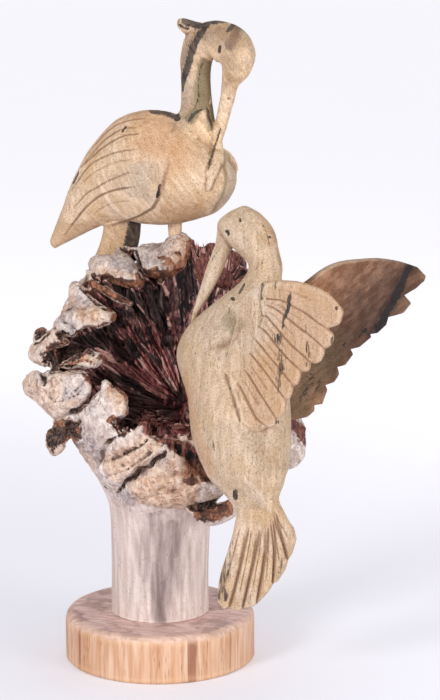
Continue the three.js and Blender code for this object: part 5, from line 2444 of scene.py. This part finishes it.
@dataclass(frozen=True)
class TurnedWood:
    """The orange wood of the base, with its end-grain lines down the side."""

    name: str = "turned_base_wood"

    def build(self) -> bpy.types.Material:
        """Makes the material.

        Returns:
            The material.
        """
        material, wires, shader = new_material(self.name)
        plain = wires.place()
        down = wires.use(grain_group(), Vector=wires.place((1.0, 1.0, 0.07)), Fineness=1.0)
        sideways = wires.place((0.12, 1.0, 1.0), (0.0, 0.0, 18.0))
        across = wires.use(grain_group(), Vector=sideways, Fineness=1.3)
        wear_and_shading = wires.use(wear_and_shading_group(), Vector=plain, Relief=wires.read("relief"))
        side = wires.mix(down.outputs["Streaks"], (240, 206, 178), (210, 160, 124))
        side = wires.veil(down.outputs["Bands"], 0.45, side, (206, 142, 100))
        drawn = wires.place((1.0, 1.0, 0.04), (0.0, 0.0, 7.0))
        side = wires.mix(wires.patch(drawn, 120.0, 2.0, 0.60, 0.68, 0.7), side, (134, 74, 52))
        side = wires.veil(down.outputs["Pores"], 0.8, side, (128, 76, 50))
        top = wires.mix(across.outputs["Streaks"], (242, 210, 202), (212, 174, 166))
        top = wires.mix(wires.patch(plain, 90.0, 4.0, 0.48, 0.64, 0.5), top, (140, 102, 94))
        colour = wires.mix(wires.read("top"), side, top)
        # Rubbed wear with a painted highlight on edges, then dirt with painted shade in recesses.
        colour = wires.veil(wear_and_shading.outputs["RubbedAndHighlight"], 0.25, colour, (240, 200, 156))
        colour = wires.veil(wear_and_shading.outputs["DirtAndShade"], 0.4, colour, (110, 66, 44))
        rough = wires.band(down.outputs["Streaks"], 0.0, 1.0, 0.4, 0.55)
        topmost = wires.math("MULTIPLY", across.outputs["Streaks"], wires.read("top"))
        height = wires.math("ADD", down.outputs["Streaks"], topmost)
        dress(wires, shader, colour, rough, height, 0.0002)
        return material


@dataclass
class Studio:
    """The pale floor and backdrop, the soft lights and the camera."""

    lens_frame: float = 36.0
    floor: Triple = (225, 224, 234)
    shaded: Triple = (-0.3, -0.1, 0.0)
    reach: float = 30.0
    near_glow: float = 0.2
    far_glow: float = 0.6
    air: float = 0.42
    air_seen: float = 0.92
    lights: tuple[tuple[str, Triple, float, float], ...] = (
        ("key", (-0.95, -1.15, 0.7), 0.5, 12.2),
        ("fill", (1.15, -0.95, 0.4), 0.8, 10.0),
        ("low", (0.15, -1.35, 0.14), 0.6, 2.6),
        ("top", (0.1, 0.35, 1.5), 0.7, 3.0),
    )

    def backdrop(self) -> None:
        """Makes a floor so wide that it fills the view behind the carving."""
        body = bmesh.new()
        bmesh.ops.create_circle(body, cap_ends=True, segments=96, radius=self.reach)
        bmesh.ops.recalc_face_normals(body, faces=body.faces)
        if min(body.faces, key=lambda face: face.calc_center_median().length).normal.z < 0:
            bmesh.ops.reverse_faces(body, faces=body.faces)
        paper = to_object("studio_paper", body)
        material, wires, shader = new_material("pale_paper")
        plain = wires.place()
        tint = wires.mix(wires.noise(plain, 3.0), self.floor, (230, 229, 238))
        away = wires.node("VectorMath", {0: plain, 1: self.shaded}, operation="DISTANCE").outputs["Value"]
        seen = wires.node("LightPath").outputs["Is Camera Ray"]
        shine = wires.math("MULTIPLY", seen, wires.band(away, 0.1, 1.3, self.near_glow, self.far_glow))
        wires.feed(shader, {"Base Color": tint, "Roughness": 0.9})
        wires.feed(shader, {"Emission Color": (1.0, 0.99, 1.01, 1.0), "Emission Strength": shine})
        paper.data.materials.append(material)

    def light(self) -> None:
        """Makes the lamps and the even light round them."""
        scene = bpy.context.scene
        aim = Vector((0.02, -0.02, 0.2))
        for name, spot, size, power in self.lights:
            lamp = bpy.data.lights.new(name, "AREA")
            lamp.shape, lamp.size, lamp.energy = "DISK", size, power
            thing = bpy.data.objects.new(name, lamp)
            thing.location = spot
            thing.rotation_euler = (aim - Vector(spot)).to_track_quat("-Z", "Y").to_euler()
            scene.collection.objects.link(thing)
        world = bpy.data.worlds.new("studio_air")
        world.use_nodes = True
        wires = Wires(world.node_tree)
        seen = wires.node("LightPath").outputs["Is Camera Ray"]
        glow = wires.node("MapRange", {"Value": seen, "To Min": self.air, "To Max": self.air_seen})
        air = {"Color": (1.0, 1.0, 1.03, 1.0), "Strength": glow.outputs["Result"]}
        wires.feed(world.node_tree.nodes["Background"], air)
        scene.world = world
        scene.view_settings.view_transform = "Standard"

    def camera(self) -> None:
        """Places the camera where the photograph was taken from."""
        lens = bpy.data.cameras.new("photo_camera")
        lens.sensor_fit = "VERTICAL"
        lens.sensor_height = self.lens_frame
        lens.lens = FOCAL / HEIGHT * self.lens_frame
        thing = bpy.data.objects.new("photo_camera", lens)
        thing.location = Vector(EYE) * MM
        thing.rotation_euler = (math.radians(90.0 - PITCH), 0.0, 0.0)
        bpy.context.scene.collection.objects.link(thing)
        bpy.context.scene.camera = thing


def main() -> None:
    """Builds the carving, its stage and its camera."""
    logging.basicConfig(level=logging.INFO, format="%(message)s")
    studio = Studio()
    studio.backdrop()
    studio.light()
    studio.camera()
    for maker in (TurnedBase(), Burl(), Hollow(), StandingBird(), AlightingBird()):
        log.info("making %s", type(maker).__name__)
        maker.build()


if __name__ == "__main__":
    main()
